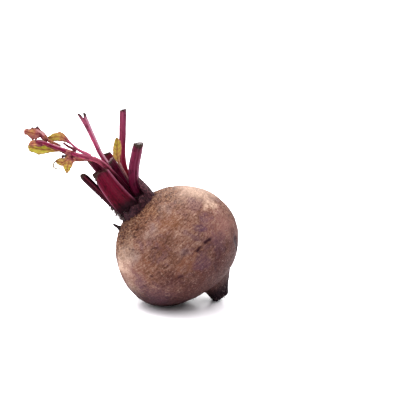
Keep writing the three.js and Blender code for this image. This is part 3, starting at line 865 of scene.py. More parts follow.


# ---- Stalks ------------------------------------------------------------------------------------------------

# A stalk's points run from the crown to its cut end, as [across, back, up from the crown's foot]. Width
# and depth are given at the foot and at the end. Groove and outer are how deep its inner channel is and
# how far its outer face is hollowed, slant leans its cut, flare is how much wider its end gets, and fork
# and blunt are the depth of the split and of the rounding of its end. Its colours run from the foot to the
# end. Rim is the colour of its painted highlights, bands along its lit edges that lie over lighter ribs in
# places; each band has the angle in degrees where it lies on the section, a width, a strength and a start.
# Dry is how long its shrivelled end is at its 180 degree edge and at the other, and cut the colour of
# the pith.
STALKS = {
    "stalk_leafy": dict(
        slot="pink_stalk", width=(4.6, 1.7), depth=(4.4, 1.6), groove=0.12, cut=(120, 70, 80),
        rim=(216, 124, 152),
        points=[(1.8, -5.3, 0), (2, -5.6, 9.5), (2.7, -6.2, 17.6), (2.9, -7.2, 26.2), (2.9, -8.4, 33.5),
            (1.7, -9.2, 38.6), (-1.2, -10, 43.5), (-4.6, -10.8, 48.8), (-7.3, -11.6, 54.7),
            (-10.9, -12.4, 61.4), (-14, -13.2, 67.6), (-17, -14, 72.2)],
        colours=[(0.08, (40, 6, 20)), (0.3, (74, 10, 32)), (0.4, (132, 44, 66)), (0.48, (176, 80, 100)),
            (0.62, (184, 72, 104)), (0.76, (146, 30, 70)), (1.0, (116, 20, 46))],
        highlight_stripes=[(-40, 1.1, 0.7, 0.35), (180, 0.5, 0.3, 0.3)],
    ),
    "stalk_broad_front": dict(
        slot="stalk", width=(17.4, 12), depth=(5.2, 4.2), groove=0.2, outer=0.3, slant=-0.12,
        dry=(11, 0.2), cut=(84, 24, 40), rim=(176, 100, 126),
        points=[(-4.2, -7.4, 0), (-4.1, -8.3, 9), (-3.3, -10.2, 21), (-1.8, -12, 32.6)],
        colours=[(0.18, (40, 6, 18)), (0.32, (88, 2, 28)), (0.6, (104, 2, 36)), (0.85, (104, 6, 38)),
            (1.0, (100, 20, 44))],
        highlight_stripes=[(180, 2.2, 0.9, 0.12), (0, 1.1, 0.95, 0.2), (140, 0.5, 0.4, 0.3)],
    ),
    "stalk_curved_right": dict(
        slot="stalk", width=(8, 7.4), depth=(5.8, 5.6), groove=0.28, outer=0.06, slant=0.1, dry=(1.8, 3.6),
        cut=(178, 166, 164), rim=(176, 104, 134),
        points=[(6, -4.4, 0), (6.6, -4.6, 6.7), (8.4, -4.9, 11.3), (11.8, -5.2, 16), (16.4, -5.6, 20.4),
            (21.6, -6, 24.4), (27.7, -6.6, 28.9)],
        colours=[(0.1, (64, 10, 32)), (0.35, (100, 18, 50)), (0.6, (126, 40, 72)), (0.85, (122, 40, 68)),
            (1.0, (92, 28, 48))],
        highlight_stripes=[(-66, 1.7, 0.9, 0.2), (-120, 0.5, 0.25, 0.3), (178, 0.8, 0.35, 0.5)],
    ),
    "stalk_short_middle": dict(
        slot="dark_stalk", width=(4.8, 5.2), depth=(3.8, 3.6), groove=0.2, slant=0.2, dry=(1.4, 1),
        cut=(160, 124, 134), rim=(140, 60, 86),
        points=[(2.4, -2.4, 0), (3.6, -3, 9.9), (5.6, -3.8, 21.8), (7.6, -4.4, 32.6)],
        colours=[(0.1, (44, 4, 20)), (0.4, (74, 4, 32)), (0.85, (86, 10, 40)), (1.0, (110, 50, 66))],
        highlight_stripes=[(180, 0.6, 0.35, 0.1), (-30, 0.5, 0.3, 0.1)],
    ),
    "stalk_tall": dict(
        slot="pink_stalk", width=(4.8, 4.4), depth=(4.6, 3.8), groove=0.2, slant=-0.3, dry=(2, 1.2),
        cut=(110, 66, 74), rim=(196, 84, 104),
        points=[(4.6, 3.4, 0), (4.3, 3.3, 8.4), (6.2, 3.5, 14.8), (10.4, 4, 23.5), (16.1, 4.6, 31),
            (24.7, 5.6, 40), (33.7, 6.4, 49.4)],
        colours=[(0.1, (128, 14, 24)), (0.3, (158, 22, 40)), (0.44, (162, 34, 66)), (0.75, (152, 60, 92)),
            (1.0, (136, 64, 90))],
        highlight_stripes=[(108, 1.0, 0.4, 0.1), (75, 0.7, 0.5, 0.1)],
    ),
    "stalk_dark_left": dict(
        slot="dark_stalk", width=(4.4, 5), depth=(5.2, 5.8), groove=0.25, outer=0.1, slant=0.15, blunt=3.4,
        dry=(4.5, 3), cut=(50, 42, 40), rim=(134, 50, 70),
        points=[(-9.8, -1.8, -1), (-10.5, -2.2, 4.2), (-11.2, -3.6, 21.8), (-11.9, -5, 38)],
        colours=[(0.1, (56, 26, 34)), (0.5, (46, 10, 20)), (1.0, (40, 12, 20))],
        highlight_stripes=[(2, 0.7, 0.75, 0.1), (-30, 0.4, 0.3, 0.1)],
    ),
    "stalk_broad_back": dict(
        slot="dark_stalk", width=(7.2, 8), depth=(5.2, 6.6), groove=0.2, outer=0.05, slant=0.05,
        dry=(1.6, 1.6), cut=(96, 56, 62), rim=(160, 66, 104),
        points=[(-3.8, 0.4, 0), (-3.1, 0.4, 8), (-2.7, 0, 22), (-1.2, -0.6, 40.6)],
        colours=[(0.1, (50, 6, 22)), (0.5, (84, 12, 36)), (0.85, (96, 22, 48)), (1.0, (96, 34, 52))],
        highlight_stripes=[(-35, 0.6, 0.35, 0.3)],
    ),
    "stalk_thin_forked": dict(
        slot="pink_stalk", width=(2.6, 3.5), depth=(2.8, 2.6), flare=0.5, groove=0.15, slant=0.35,
        fork=4.5, dry=(4.2, 2.6), cut=(64, 46, 52), rim=(246, 190, 212),
        points=[(0.2, 4.6, 0), (1.4, 4.7, 9.9), (2.6, 5.2, 20.6), (3.6, 6.2, 33.1), (4.7, 6.8, 38.9),
            (6.8, 7.5, 45.6), (9.3, 8.4, 53.7), (12.5, 9.6, 65)],
        colours=[(0.2, (104, 12, 48)), (0.42, (206, 54, 104)), (0.6, (208, 80, 126)),
            (0.8, (204, 98, 134)), (1.0, (160, 90, 110))],
        highlight_stripes=[(150, 1.3, 0.9, 0.1), (20, 0.6, 0.35, 0.3)],
    ),
    "stalk_short_back": dict(
        slot="dark_stalk", width=(5.2, 5.6), depth=(4.2, 3.8), groove=0.2, outer=0.05, slant=0.25,
        dry=(1.2, 1.8), cut=(66, 44, 50), rim=(126, 60, 84),
        points=[(-1, 8.4, 0), (1.2, 8.8, 9.3), (4.6, 10.6, 24.1), (7.1, 12.4, 35.6)],
        colours=[(0.1, (60, 12, 30)), (0.5, (100, 18, 42)), (1.0, (118, 40, 60))],
        highlight_stripes=[(180, 0.6, 0.3, 0.1), (0, 0.6, 0.3, 0.1)],
    ),
    "stalk_stub_back_right": dict(
        slot="dark_stalk", width=(6.4, 5.6), depth=(4.6, 4.2), groove=0.22, outer=0.05, slant=0.3,
        dry=(3, 3), cut=(96, 70, 66), rim=(130, 64, 88),
        points=[(6.2, 7.4, -1), (7, 8.8, 6), (8.2, 11.4, 13.5)],
        colours=[(0.1, (50, 12, 30)), (0.5, (76, 20, 42)), (1.0, (72, 30, 44))],
        highlight_stripes=[(180, 0.9, 0.3, 0.1), (0, 0.9, 0.3, 0.1)],
    ),
    "stalk_stub_back_left": dict(
        slot="stalk", width=(6.2, 5.4), depth=(4.4, 4), groove=0.22, outer=0.05, slant=-0.3, dry=(3, 3),
        cut=(104, 78, 70), rim=(176, 92, 120),
        points=[(-6.8, 5.8, -1), (-7.8, 7.4, 8), (-9, 9.4, 19)],
        colours=[(0.1, (48, 10, 28)), (0.5, (92, 20, 44)), (1.0, (96, 34, 54))],
        highlight_stripes=[(180, 0.9, 0.5, 0.1), (0, 0.9, 0.5, 0.1)],
    ),
    "young_leaf_stalk": dict(
        slot="pink_stalk", width=(1.5, 1), depth=(1.5, 0.9), groove=0, cut=(190, 120, 110),
        rim=(232, 178, 170),
        points=[(4.7, 0.1, 0), (4.4, 0, 8.4), (5.2, -0.2, 13.5), (6.5, -0.6, 18.4), (7.4, -1.1, 22.6),
            (9, -1.4, 26.6), (11.8, -1.5, 30.2)],
        colours=[(0.2, (140, 40, 62)), (0.5, (206, 130, 140)), (0.75, (224, 164, 158)),
            (1.0, (220, 160, 120))],
        highlight_stripes=[(180, 0.4, 0.4, 0.1), (0, 0.4, 0.4, 0.1)],
    ),
}
GROOVE_SPREAD = 0.17
HOLLOW_SPREAD = 0.28  # of the outer face's hollow, as a share of the width
RIB_COUNT = 11
FIBRE_STRETCH = 0.06  # how fast the fibres' pattern changes along a stalk, as a share of across it
FLARE_POWER = 9
FORK_SPREAD = 0.22
CAP_RINGS = 6


def add_stalk(shape, stalk, seed):
    """A stalk with its channel, ribs and shrivelled cut end. Its rings go on inwards over the cut."""
    points = from_crown(stalk["points"])
    length = steps(points).sum()
    rings = max(24, int(length / STALK_RING_STEP))
    curve, tangent = catmull_rom(points, rings)
    walked = np.linspace(0, length, rings)[:, None]
    share = walked / length
    inward = unit(np.array([-points[0][0], -points[0][1], 0]))
    side = unit(np.cross(inward, tangent))[:, None]
    front = np.cross(tangent[:, None], side)

    angle = full_turn(STALK_SIDES)
    x, y = np.cos(angle) / 2, np.sin(angle) / 2
    hollow = stalk.get("outer", 0) * bell(x, 0, HOLLOW_SPREAD)
    y = y + np.where(y > 0, -stalk["groove"] * bell(x, 0, GROOVE_SPREAD), hollow)
    spot = together(np.cos(angle), np.sin(angle), walked / 30)
    ribs = 0.025 * np.cos(RIB_COUNT * angle + seed) + 0.05 * field(spot * [3, 3, 1], 1, seed=seed, octaves=3)
    first, second = stalk.get("dry", (0, 0))
    dried = second + (first - second) * (0.5 - x) ** 4
    uneven = np.minimum(1.8, 0.7 * dried) * field(spot, 0.5, seed=seed + 0.5)
    dry = smoothstep(length - dried - 0.3, length - 0.4 * dried, walked + uneven) * (dried > 0)
    shrink = 1 + ribs - 0.05 * dry + 0.12 * dry * field(spot * [4, 4, 30], 1, seed=seed + 0.7)
    if "blunt" in stalk:
        over = np.clip((walked - length + stalk["blunt"]) / stalk["blunt"], 0, 0.96)
        shrink = shrink * np.sqrt(1 - over**2.6)
    width = mix(*stalk["width"], share) * (1 + stalk.get("flare", 0) * share**FLARE_POWER)
    across = x * width * shrink
    outwards = y * mix(*stalk["depth"], share) * shrink
    lean = stalk.get("slant", 0) * across * np.maximum(0, 2 * share - 1)
    torn = (0.3 + 0.4 * smoothstep(0, 4, dried)) * smoothstep(0.85, 1, share)
    lean = lean + torn * field(spot * [3, 3, 0], 1, seed=seed + 0.3)
    if "fork" in stalk:
        floor = length - stalk["fork"] * np.clip(1 - np.abs(x) / FORK_SPREAD, 0, 1)
        lean = lean - np.maximum(0, walked - floor)
    grid = curve[:, None] + side * across[..., None] + front * outwards[..., None]
    grid = grid + tangent[:, None] * lean[..., None]
    grid = grid + 0.25 * field(curve, 16, seed=seed + 0.9, octaves=2)[:, None, None] * side

    rim, centre = grid[-1], grid[-1].mean(0)
    if "fork" in stalk:
        centre = centre - 0.6 * stalk["fork"] * tangent[-1]
    sunk = 0.1 * stalk["width"][1]
    caps = []
    for k in range(1, CAP_RINGS + 1):
        inset = 1 - k / (CAP_RINGS + 1)
        rough = 0.3 * field(rim + k * 3.7, 1.4, seed=seed)[:, None]
        caps.append(centre + (rim - centre) * inset + tangent[-1] * (rough - sunk) * (1 - inset**2))
    grid = np.concatenate([grid, np.array(caps)])

    def extended(value, last):
        full = np.broadcast_to(value, (rings, STALK_SIDES))
        return np.concatenate([full, np.broadcast_to(last, (CAP_RINGS, STALK_SIDES))])

    # Painted highlights along the stalk's lit edges, over lighter ribs in places: how strongly each point
    # takes the rim colour.
    painted_highlight = np.zeros(across.shape)
    for at, wide, strength, start in stalk["highlight_stripes"]:
        a = math.radians(at)
        off_x = across - math.cos(a) / 2 * width
        off_y = outwards - math.sin(a) / 2 * mix(*stalk["depth"], share)
        here = smoothstep(wide, 0.35 * wide, np.hypot(off_x, off_y))
        here = here * smoothstep(start - 0.1, start + 0.15, share)
        painted_highlight = np.maximum(painted_highlight, strength * here)
    fibre = together(across, outwards, walked * FIBRE_STRETCH)
    fibre = np.concatenate([fibre, np.repeat(fibre[-1:], CAP_RINGS, axis=0)])
    shape.add_grid(
        grid,
        fibre=fibre,
        along=extended(share, 1),
        rim=extended(painted_highlight, 0),
        dry=extended(dry, 0.7 * dry[-1]),
        cut=extended(0, 1),
    )


def stalk_finish(name, stalk):
    f = Finish(name, Roughness=0.4, Specular_IOR_Level=0.02)
    own, fibre = f.vector("own"), f.vector("fibre")
    streaks = f.noise(fibre, 1.3, detail=5, roughness=0.6)
    mottle = f.noise(own, 3.2, detail=4, roughness=0.6)
    speckle = f.noise(own, 14, detail=3, roughness=0.7)
    colour = f.ramp(f.value("along"), *stalk["colours"])
    darker = f.mixed(1.0, colour, (130, 96, 104), "MULTIPLY")
    colour = f.tinted(colour, darker, streaks, 0.5, 0.34, 0.6)
    paler = f.mixed(1.0, colour, (1.5, 1.2, 1.4, 1), "MULTIPLY")
    colour = f.tinted(colour, paler, streaks, 0.52, 0.7, 0.8)
    colour = f.tinted(colour, darker, mottle, 0.52, 0.66, 0.6)
    # Painted highlights along the lit edges, in the rim colour, over lighter ribs in places.
    colour = f.overlaid(colour, stalk["rim"], f.value("rim"), f.window(mottle, 0.3, 0.55, 0.6, 1.0))
    dried = f.tinted((34, 22, 22), (96, 76, 68), speckle, 0.38, 0.62)
    colour = f.mixed(f.value("dry"), colour, dried)
    pith = f.tinted(darker, stalk["cut"], speckle, 0.35, 0.6)
    colour = f.mixed(f.value("cut"), colour, pith)
    height = f.total(streaks, (speckle, 0.25))
    normal = f.bump(height, 0.5, strength=0.5)
    worn = f.maths("MAXIMUM", f.value("dry"), f.value("cut"))
    roughness = f.window(worn, 0.0, 1.0, 0.38, 0.75)
    return f.connect(Base_Color=colour, Normal=normal, Roughness=roughness)


def build_stalks():
    for index, (name, stalk) in enumerate(STALKS.items()):
        shape = Shape()
        add_stalk(shape, stalk, seed=70 + index)
        shape.piece(name + "_skin", name, stalk_finish(name + "_skin", stalk))


# ---- Leaves ------------------------------------------------------------------------------------------------

# Lobes of leaf blade, each with its left and right edge from the foot to the tip. Facing is the way its
# upper face looks, cup lifts its middle to that side and wave ruffles its edges. Wilt runs from the foot
# to the tip: 0 is green, 0.3 yellow, 0.6 ochre, 0.8 red-brown and 1 maroon. Margins are how strongly each
# edge is darkened, and veins is how many side veins it has.
TORN_LEAF = [
    dict(
        left=[(-0.8, -7.4, 40.2), (-2.6, -8, 42.9), (-5.1, -8.3, 46.5), (-7.1, -8.6, 50.6),
            (-8.4, -9.2, 54.4), (-10.9, -10, 60.2), (-13.2, -10.8, 65.6), (-14.2, -11.3, 68.4)],
        right=[(-1.5, -7.4, 39.8), (-3.8, -7.8, 42.5), (-5.6, -8.1, 44.1), (-7.6, -8.3, 45.6),
            (-9.3, -8.6, 48.2), (-9.9, -9.1, 52.2), (-11.2, -9.6, 57), (-13.9, -10.6, 62.6),
            (-15.9, -11.5, 68.6)],
        facing=(0, -1, 0), cup=0.3, wave=0.15, waves=4, wilt=(0.7, 0.8), margins=(0.1, 0.9), veins=7,
    ),
    dict(
        left=[(-10.2, -10, 56.8), (-12.5, -9.9, 60.7), (-13.9, -9.9, 63.6), (-16.2, -9.8, 67.8),
            (-18.1, -9.7, 71), (-19.6, -9.6, 73), (-21.4, -9.5, 73.5), (-22.9, -9.5, 73.1),
            (-24, -9.4, 72.2)],
        right=[(-10.3, -10, 56.6), (-13.2, -9.9, 59.1), (-15.7, -9.9, 60.8), (-18.3, -9.8, 62),
            (-20.6, -9.7, 63.6), (-22.9, -9.6, 66), (-24.1, -9.5, 68.4), (-24.7, -9.5, 70.4),
            (-24, -9.4, 72.2)],
        facing=(0, -1, 0.25), cup=1.2, wave=0.4, waves=2.5, wilt=(0.3, 0), margins=(0.2, 0.8), veins=4,
    ),
    dict(
        left=[(-13.1, -12.5, 67), (-13.5, -12.3, 68.7), (-14.5, -12.1, 70.3), (-15.9, -11.9, 71.6),
            (-16.8, -11.8, 72.6), (-18.3, -11.6, 73.7), (-20.1, -11.4, 74), (-21.7, -11.2, 73.8),
            (-22.5, -11, 73.4)],
        right=[(-14.8, -12.5, 66.4), (-16.9, -12.3, 67.3), (-18.3, -12.1, 68.4), (-19.4, -11.9, 69.5),
            (-20.9, -11.6, 70.9), (-22, -11.4, 72.1), (-22.6, -11.2, 72.8), (-22.5, -11, 73.4)],
        facing=(0, -1, 0.4), cup=0.7, wave=0.3, waves=2, wilt=(0.66, 0.56), margins=(0.2, 1), veins=3,
    ),
    dict(
        left=[(-11.8, -11, 66.7), (-11.2, -11.4, 67.8), (-10.5, -11.8, 70), (-10.2, -12.1, 72.2),
            (-10.3, -12.5, 74.5), (-10.4, -12.9, 76.3), (-10.6, -13.2, 77.7), (-12, -13.6, 78.2),
            (-13, -14, 79.5), (-15, -14.4, 80.2), (-15.9, -14.8, 81.5), (-17.3, -15.1, 81.5),
            (-18.4, -15.5, 80.9)],
        right=[(-13.3, -11, 67.3), (-13.5, -11.4, 68.8), (-14, -11.8, 70.2), (-13.6, -12.1, 71.3),
            (-14.3, -12.5, 72.5), (-15.5, -12.9, 73), (-16.5, -13.2, 72.5), (-17.9, -13.6, 73.1),
            (-18.2, -14, 74.2), (-18, -14.4, 75), (-18.4, -14.8, 77.6), (-19, -15.1, 79.8),
            (-18.4, -15.5, 80.9)],
        facing=(0.2, -1, -0.45), cup=-1, wave=0.6, waves=3, wilt=(0.98, 0.66), margins=(0.3, 0.6), veins=4,
    ),
    dict(
        left=[(-2.6, -8.4, 56.8), (-2.4, -8.5, 60.1), (-2.2, -8.7, 62.7), (-2.2, -8.9, 64.4),
            (-3.5, -9, 66.4), (-5, -9.1, 67.9), (-7.3, -9.3, 68.5), (-9.6, -9.5, 68.7), (-10.8, -9.6, 69)],
        right=[(-3.7, -8.4, 56.5), (-4.5, -8.5, 58.3), (-5.6, -8.7, 60.3), (-7.1, -8.9, 62.2),
            (-8.9, -9, 63.7), (-10.6, -9.1, 65), (-11.8, -9.3, 66.3), (-12, -9.5, 67.7),
            (-10.8, -9.6, 69)],
        facing=(-0.1, -1, 0.2), cup=-0.5, wave=0.35, waves=2.5, wilt=(0.8, 0.16), margins=(0.3, 0.6),
        veins=5,
    ),
    dict(
        left=[(-8.6, -9.6, 52.5), (-10.8, -10.1, 52.8), (-12.8, -10.6, 53.7), (-14.1, -11.1, 54.9),
            (-15.2, -11.6, 55.5), (-16.5, -12.1, 55.4), (-16.8, -12.6, 55.2)],
        right=[(-10.6, -9.6, 49.8), (-13, -10, 49.5), (-14.9, -10.5, 49.7), (-16.4, -10.9, 50.3),
            (-17.1, -11.3, 51.7), (-17.4, -11.7, 53.3), (-17.2, -12.2, 54.4), (-16.8, -12.6, 55.2)],
        facing=(0.1, -1, 0.4), cup=-0.6, wave=0.4, waves=2.5, wilt=(0.62, 0.24), margins=(0.7, 0.2),
        veins=4,
    ),
    dict(
        left=[(-11.7, -9, 51.9), (-14.1, -8.8, 51.1), (-15.9, -8.7, 49.8), (-16.9, -8.5, 48.1),
            (-17.3, -8.3, 46.6), (-17.7, -8.2, 45), (-17.8, -8, 44.4)],
        right=[(-8, -9, 46.9), (-9.2, -8.8, 47.1), (-10.9, -8.7, 46.5), (-12.7, -8.5, 45.6),
            (-14.5, -8.3, 45), (-16.3, -8.2, 44.7), (-17.8, -8, 44.4)],
        facing=(-0.1, -1, -0.1), cup=0.9, wave=0.5, waves=3, wilt=(0.52, 0.26), margins=(0.3, 0.3),
        veins=5,
    ),
    dict(
        left=[(-7.9, -11.3, 60.3), (-8.8, -11.3, 62.8), (-9.9, -11.3, 65.2), (-10.6, -11.3, 67.3),
            (-11.5, -11.3, 68.1)],
        right=[(-8.6, -11.3, 59.5), (-9.9, -11.3, 61.6), (-11.1, -11.3, 63.9), (-12.2, -11.3, 66.2),
            (-12.4, -11.3, 67.3)],
        facing=(0, -1, 0.2), cup=0.2, wave=0.1, waves=2, wilt=(0.8, 0.5), margins=(0.2, 0), veins=3,
    ),
    dict(
        left=[(-4.6, -12.7, 52.6), (-5.1, -12.8, 53.4), (-6.1, -12.8, 54.6), (-7, -12.8, 55.9),
            (-7.6, -12.8, 56.7), (-8.2, -12.8, 57)],
        right=[(-5, -12.6, 51.8), (-5.7, -12.8, 52.6), (-7.1, -12.8, 52.9), (-8.4, -12.8, 53.2),
            (-9.3, -12.8, 53.6), (-9.9, -12.8, 54.3), (-9.5, -12.8, 55.3), (-8.9, -12.8, 56.4),
            (-8.2, -12.8, 57)],
        facing=(0, -1, 0), cup=0.2, wave=0.1, waves=2, wilt=(0.9, 0.86), margins=(0, 1), veins=3,
    ),
    dict(
        left=[(-5.9, -9.6, 47.4), (-7.1, -9.6, 49.6), (-7.6, -9.7, 51.8), (-8.8, -9.7, 53.2),
            (-10, -9.8, 53.6), (-11.4, -9.8, 53)],
        right=[(-6.9, -9.6, 46.2), (-8.3, -9.6, 47), (-9.9, -9.7, 47), (-11, -9.7, 47.2),
            (-12.3, -9.7, 48.5), (-12.6, -9.7, 50.4), (-12.1, -9.8, 52.1), (-11.4, -9.8, 53)],
        facing=(0, -1, 0.1), cup=0.3, wave=0.2, waves=2, wilt=(0.78, 0.66), margins=(0.2, 0.6), veins=4,
    ),
]

# Spots where the torn leaf has a wilt of its own: the place, the reach and the wilt.
WILTS = [
    ((-17, -13, 78.9), 2.6, 0.58), ((-14.5, -13, 77.2), 2.4, 0.5), ((-13.1, -12.5, 72.1), 2.2, 0.95),
    ((-16.3, -12.5, 71.5), 2.6, 1.0), ((-11.5, -12, 70), 2.2, 0.7), ((-19.5, -11.8, 71.5), 2.4, 0.6),
    ((-16.2, -11.8, 68.9), 2.6, 0.96), ((-8, -9, 65.2), 3.4, 0.24), ((-3.4, -9, 65.7), 2.4, 0.5),
    ((-3.2, -8.6, 60), 3, 0.76), ((-7.8, -12.8, 55), 2.4, 0.88), ((-8.5, -9.2, 50.6), 2.6, 0.9),
    ((-11.2, -9.2, 51.6), 2.2, 0.66), ((-11.5, -8.8, 48.4), 2.6, 0.44), ((-14.8, -8.5, 47.4), 3, 0.2),
    ((-5, -8.2, 45.4), 3, 0.62), ((-22, -9.6, 69), 3, 0.06),
]
YOUNG_LEAF = dict(
    left=[(10, -2.5, 27), (14, -2.4, 30.3), (17.5, -2.5, 33.3), (19.6, -2.7, 36.9), (20.3, -2.9, 39.9)],
    right=[(9.2, -2.7, 27.4), (10.3, -3.6, 32.9), (13.5, -3.8, 36.8), (17, -3.6, 39.3),
        (19.5, -3.1, 40.5)],
    facing=(0.2, -1, -0.15), cup=-0.5, wave=0.35, waves=4, wilt=(0.5, 0.12), margins=(0.9, 0.5), veins=6,
)
BLADE_THICKNESS = 0.4
LOBE_ROWS, LOBE_COLUMNS = 64, 33
VEIN_STEPS = 36
TIP_CUT = 0.985  # how far along its edges a lobe goes, as they meet at its tip


def add_lobe(shape, lobe, seed):
    """A lobe of blade between two edges, waved and puckered, with its veins sunk into its face."""
    along, across = LOBE_ROWS, LOBE_COLUMNS
    left, right = (catmull_rom(from_crown(lobe[edge]), 4 * along)[0] for edge in ("left", "right"))
    rows = np.round(np.linspace(0, TIP_CUT, along) * (4 * along - 1)).astype(int)
    left, right = left[rows], right[rows]
    middle = (left + right) / 2
    span = right - left
    half = np.linalg.norm(span, axis=1)[:, None] / 2
    side = unit(span)[:, None]
    share = np.linspace(0, 1, along)[:, None]
    v = np.linspace(-1, 1, across)[None, :]
    up = unit(np.array(lobe["facing"], float))
    length = steps(middle).sum()
    phase = 2 * math.pi * lobe["waves"] * share + 1.2 * np.sign(v)
    spot = together(share * length, 9 * np.sign(v), 0)
    ragged = 1 + 0.18 * np.abs(v) * field(spot, 2.4, seed=seed)

    count = lobe["veins"]
    fan = share * count - 0.9 * np.abs(v)
    from_side_vein = np.abs(fan - np.round(fan)) * length / count
    side_vein = bell(from_side_vein, 0, 0.3) * (1 - 0.6 * np.abs(v)) * smoothstep(0.02, 0.1, np.abs(v))
    midrib = bell(v * half, 0, 0.42)
    vein = np.maximum(midrib, side_vein)

    ruffle = lobe["wave"] * np.sin(phase) * v**2 + lobe["cup"] * (1 - v**2) * smoothstep(0, 3, half)
    puckers = 0.5 * (np.abs(fan - np.round(fan)) - 0.25) * (1 - v**4)
    crumple = 0.35 * field(together(share * length, v * half, 0), 5, seed=seed + 0.4)
    lift = ruffle + puckers + crumple - 0.12 * vein
    grid = middle[:, None] + side * (v * half * ragged)[..., None] + up * lift[..., None]

    wilt = mix(*lobe["wilt"], share) + 0 * v
    for place, reach, value in WILTS:
        near = smoothstep(reach, 0.3 * reach, np.linalg.norm(grid - from_crown(place), axis=-1))
        wilt = mix(wilt, value, near)
    wilt = wilt + 0.12 * field(grid, 4, seed=seed + 0.8)
    from_edge = half * (1 - np.abs(v)) + 0.35 * field(grid, 2, seed=seed + 0.2)
    margin = smoothstep(1.1, 0.2, from_edge) * np.where(v < 0, *lobe["margins"])
    shape.add_grid(grid, closed=False, vein=vein, margin=margin, wilt=wilt)


def leaf_finish(name, vein, margin):
    f = Finish(name, Roughness=0.48, Specular_IOR_Level=0.08)
    own = f.vector("own")
    mottle = f.noise(own, 5, detail=5, roughness=0.6)
    speckle = f.noise(own, 20, detail=3, roughness=0.6)
    wilt = f.maths("ADD", f.value("wilt"), f.maths("MULTIPLY", f.maths("SUBTRACT", mottle, 0.5), 0.6))
    colour = f.ramp(
        wilt,
        (0.0, (186, 178, 56)), (0.16, (210, 190, 70)), (0.32, (230, 194, 92)), (0.46, (230, 176, 100)),
        (0.62, (216, 142, 104)), (0.8, (196, 122, 116)), (0.92, (140, 54, 68)), (1.0, (96, 22, 44)),
    )
    colour = f.tinted(colour, (222, 208, 140), speckle, 0.6, 0.75, 0.3)
    colour = f.overlaid(colour, margin, f.value("margin"), 0.75)
    colour = f.overlaid(colour, vein, f.value("vein"), 0.8)
    normal = f.bump(f.maths("ADD", mottle, speckle), 0.25, strength=0.5)
    return f.connect(Base_Color=colour, Normal=normal)


# Bare veins: the places of each, its thickness at both ends, and where its colour lies on the ramp of
# vein_finish(). They are the two that carry the upper lobe, the ridge of the tip, three dark knobs and a
# thread that curls from the leaf.
VEINS = [
    ([(0.6, -9.9, 42.8), (-0.2, -9.8, 45.4), (-1.4, -9.6, 48.3), (-2.2, -9.5, 50.5), (-2.7, -9.3, 52.6),
      (-3, -9.2, 55.4), (-3.2, -9, 57.9), (-3.5, -8.9, 59.8)], (2.6, 1.1), 0.2),
    ([(-3.6, -10.6, 51.2), (-4.2, -10.4, 52.9), (-4.6, -10.1, 54.6), (-5.4, -9.9, 56.4),
      (-5.8, -9.6, 58.2), (-6.1, -9.3, 60.1)], (1.8, 1.4), 0.42),
    ([(-11.8, -14.4, 77.1), (-11.5, -14, 75.2), (-11.2, -13.5, 73.3), (-11, -13, 71.5)], (0.9, 1.3), 0),
    ([(-11.4, -14, 77.4), (-11, -14, 77.8), (-10.2, -14, 78.2)], (0.9, 1.1), 1),
    ([(-13.3, -14.4, 79), (-13, -14.4, 79.4), (-12.8, -14.4, 79.8)], (0.8, 0.7), 1),
    ([(-9.9, -12, 53.2), (-10.9, -12.1, 53.9), (-11.7, -12.2, 54.4), (-12.4, -12.3, 55)], (1.1, 2.1),
      0.95),
    ([(-16.8, -12.4, 55.1), (-18, -12.2, 55.1), (-19.5, -11.9, 54.4), (-20.4, -11.7, 53.2),
      (-20.2, -11.5, 51.9), (-19.3, -11.2, 50.7), (-18.1, -11, 49.7)], (1, 0.8), 0.7),
]


# Two dried strands beside the young leaf's stalk, as the veins above.
YOUNG_STRANDS = [
    ([(10.7, -2.6, 29.5), (9.7, -2.1, 26.5), (8.3, -1.6, 22.6), (6.8, -1.1, 18.3), (5.6, -0.6, 14.5)],
      (0.7, 0.9), 0),
    ([(10.9, -2.6, 28.8), (10, -2.1, 25.4), (9.1, -1.6, 22.2), (7.9, -1.1, 18), (6.6, -0.6, 14.4)],
      (0.6, 0.8), 0),
]


def build_veins(name, node, strands):
    """Bare veins that stand for a node, or for a part of it."""
    shape = Shape()
    for places, (foot, tip), shade in strands:
        curve, _ = catmull_rom(from_crown(places), VEIN_STEPS)
        shape.add_tube(curve, np.linspace(foot, tip, VEIN_STEPS) / 2, sides=10, wilt=shade)
    shape.piece(name, node, vein_finish(name))


def build_leaves():
    torn = Shape()
    for index, lobe in enumerate(TORN_LEAF):
        add_lobe(torn, lobe, seed=90 + index)
    material = leaf_finish("torn_leaf_skin", (150, 44, 60), (104, 40, 46))
    torn.piece("torn_leaf_skin", "torn_leaf_blade", material, BLADE_THICKNESS)

    build_veins("torn_leaf_veins", "torn_leaf_blade", VEINS)
    build_veins("young_leaf_strands", "young_leaf_stalk", YOUNG_STRANDS)

    young = Shape()
    add_lobe(young, YOUNG_LEAF, seed=97)
    material = leaf_finish("young_leaf_skin", (140, 66, 44), (222, 152, 116))
    young.piece("young_leaf_skin", "young_leaf_blade", material, BLADE_THICKNESS)


def vein_finish(name):
    f = Finish(name, Roughness=0.5, Specular_IOR_Level=0.08)
    mottle = f.noise(f.vector("own"), 9, detail=4)
    colour = f.ramp(
        f.value("wilt"),
        (0.0, (226, 158, 158)), (0.2, (196, 92, 124)), (0.42, (116, 38, 56)), (0.7, (170, 158, 130)),
        (0.95, (74, 44, 50)), (1.0, (70, 54, 56)),
    )
    colour = f.tinted(colour, (120, 50, 60), mottle, 0.5, 0.7, 0.4)
    return f.connect(Base_Color=colour, Normal=f.bump(mottle, 0.15))


# ---- Studio ------------------------------------------------------------------------------------------------


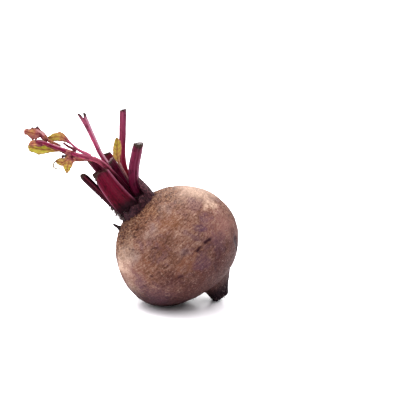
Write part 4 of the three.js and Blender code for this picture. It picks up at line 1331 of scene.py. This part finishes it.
def area_light(name, place, target, size, power):
    lamp = bpy.data.lights.new(name, "AREA")
    lamp.shape = "DISK"
    lamp.size = size
    lamp.energy = power
    made = placed(name, lamp)
    made.location = place
    made.rotation_euler = (Vector(target) - Vector(place)).to_track_quat("-Z", "Y").to_euler()


FLOOR_REACH = 4  # metres to each side
KEY_PLACE = (-0.25, 0.1, 0.85)  # metres
KEY_SIZE = 0.6
KEY_POWER = 10
ROOM_LIGHT = 0.12
OVERHEAD_LIGHT = 3.1
BACK_LIGHT = 2.4
LEFT_LIGHT = 1.2


def studio_world():
    """A white sweep behind and over the object, and a dim room behind the camera."""
    world = bpy.data.worlds.new("studio")
    world.use_nodes = True
    n = Nodes(world.node_tree)
    x, y, z = n.parts(n.node("ShaderNodeTexCoord", "Generated", {}))
    back = n.window(y, -0.25, 0.7)
    above = n.window(z, 0.4, 0.95)
    left = n.window(x, 0.0, -1.0)
    light = n.total((back, BACK_LIGHT), (above, OVERHEAD_LIGHT), (left, LEFT_LIGHT), ROOM_LIGHT)
    n.tree.links.new(light, n.tree.nodes["Background"].inputs["Strength"])
    n.tree.nodes["Background"].inputs["Color"].default_value = (1, 1, 1, 1)
    return world


def build_studio():
    scene = bpy.context.scene
    scene.view_settings.view_transform = "Standard"
    scene.world = studio_world()

    floor_mesh = bpy.data.meshes.new("floor")
    corners = [(x * FLOOR_REACH, y * FLOOR_REACH, 0) for x, y in ((-1, -1), (1, -1), (1, 1), (-1, 1))]
    floor_mesh.from_pydata(corners, [], [(0, 1, 2, 3)])
    finish = Finish("floor", Roughness=0.2, Specular_IOR_Level=0.2, Base_Color=(0.97, 0.94, 0.98, 1))
    floor_mesh.materials.append(finish.material)
    floor = placed("floor", floor_mesh)

    middle = lay_down(np.zeros(3))
    area_light("key", KEY_PLACE, middle, KEY_SIZE, KEY_POWER)

    camera = placed("camera", bpy.data.cameras.new("camera"))
    camera.data.lens = CAMERA_LENS
    camera.data.sensor_width = CAMERA_SENSOR
    camera.location = Vector(CAMERA_PLACE) / 1000
    camera.rotation_euler = (math.radians(90 - CAMERA_ELEVATION), 0, 0)
    scene.camera = camera


build_root()
build_scales()
build_spikes()
build_collar_fibres()
build_hairs()
build_stalks()
build_leaves()
build_studio()
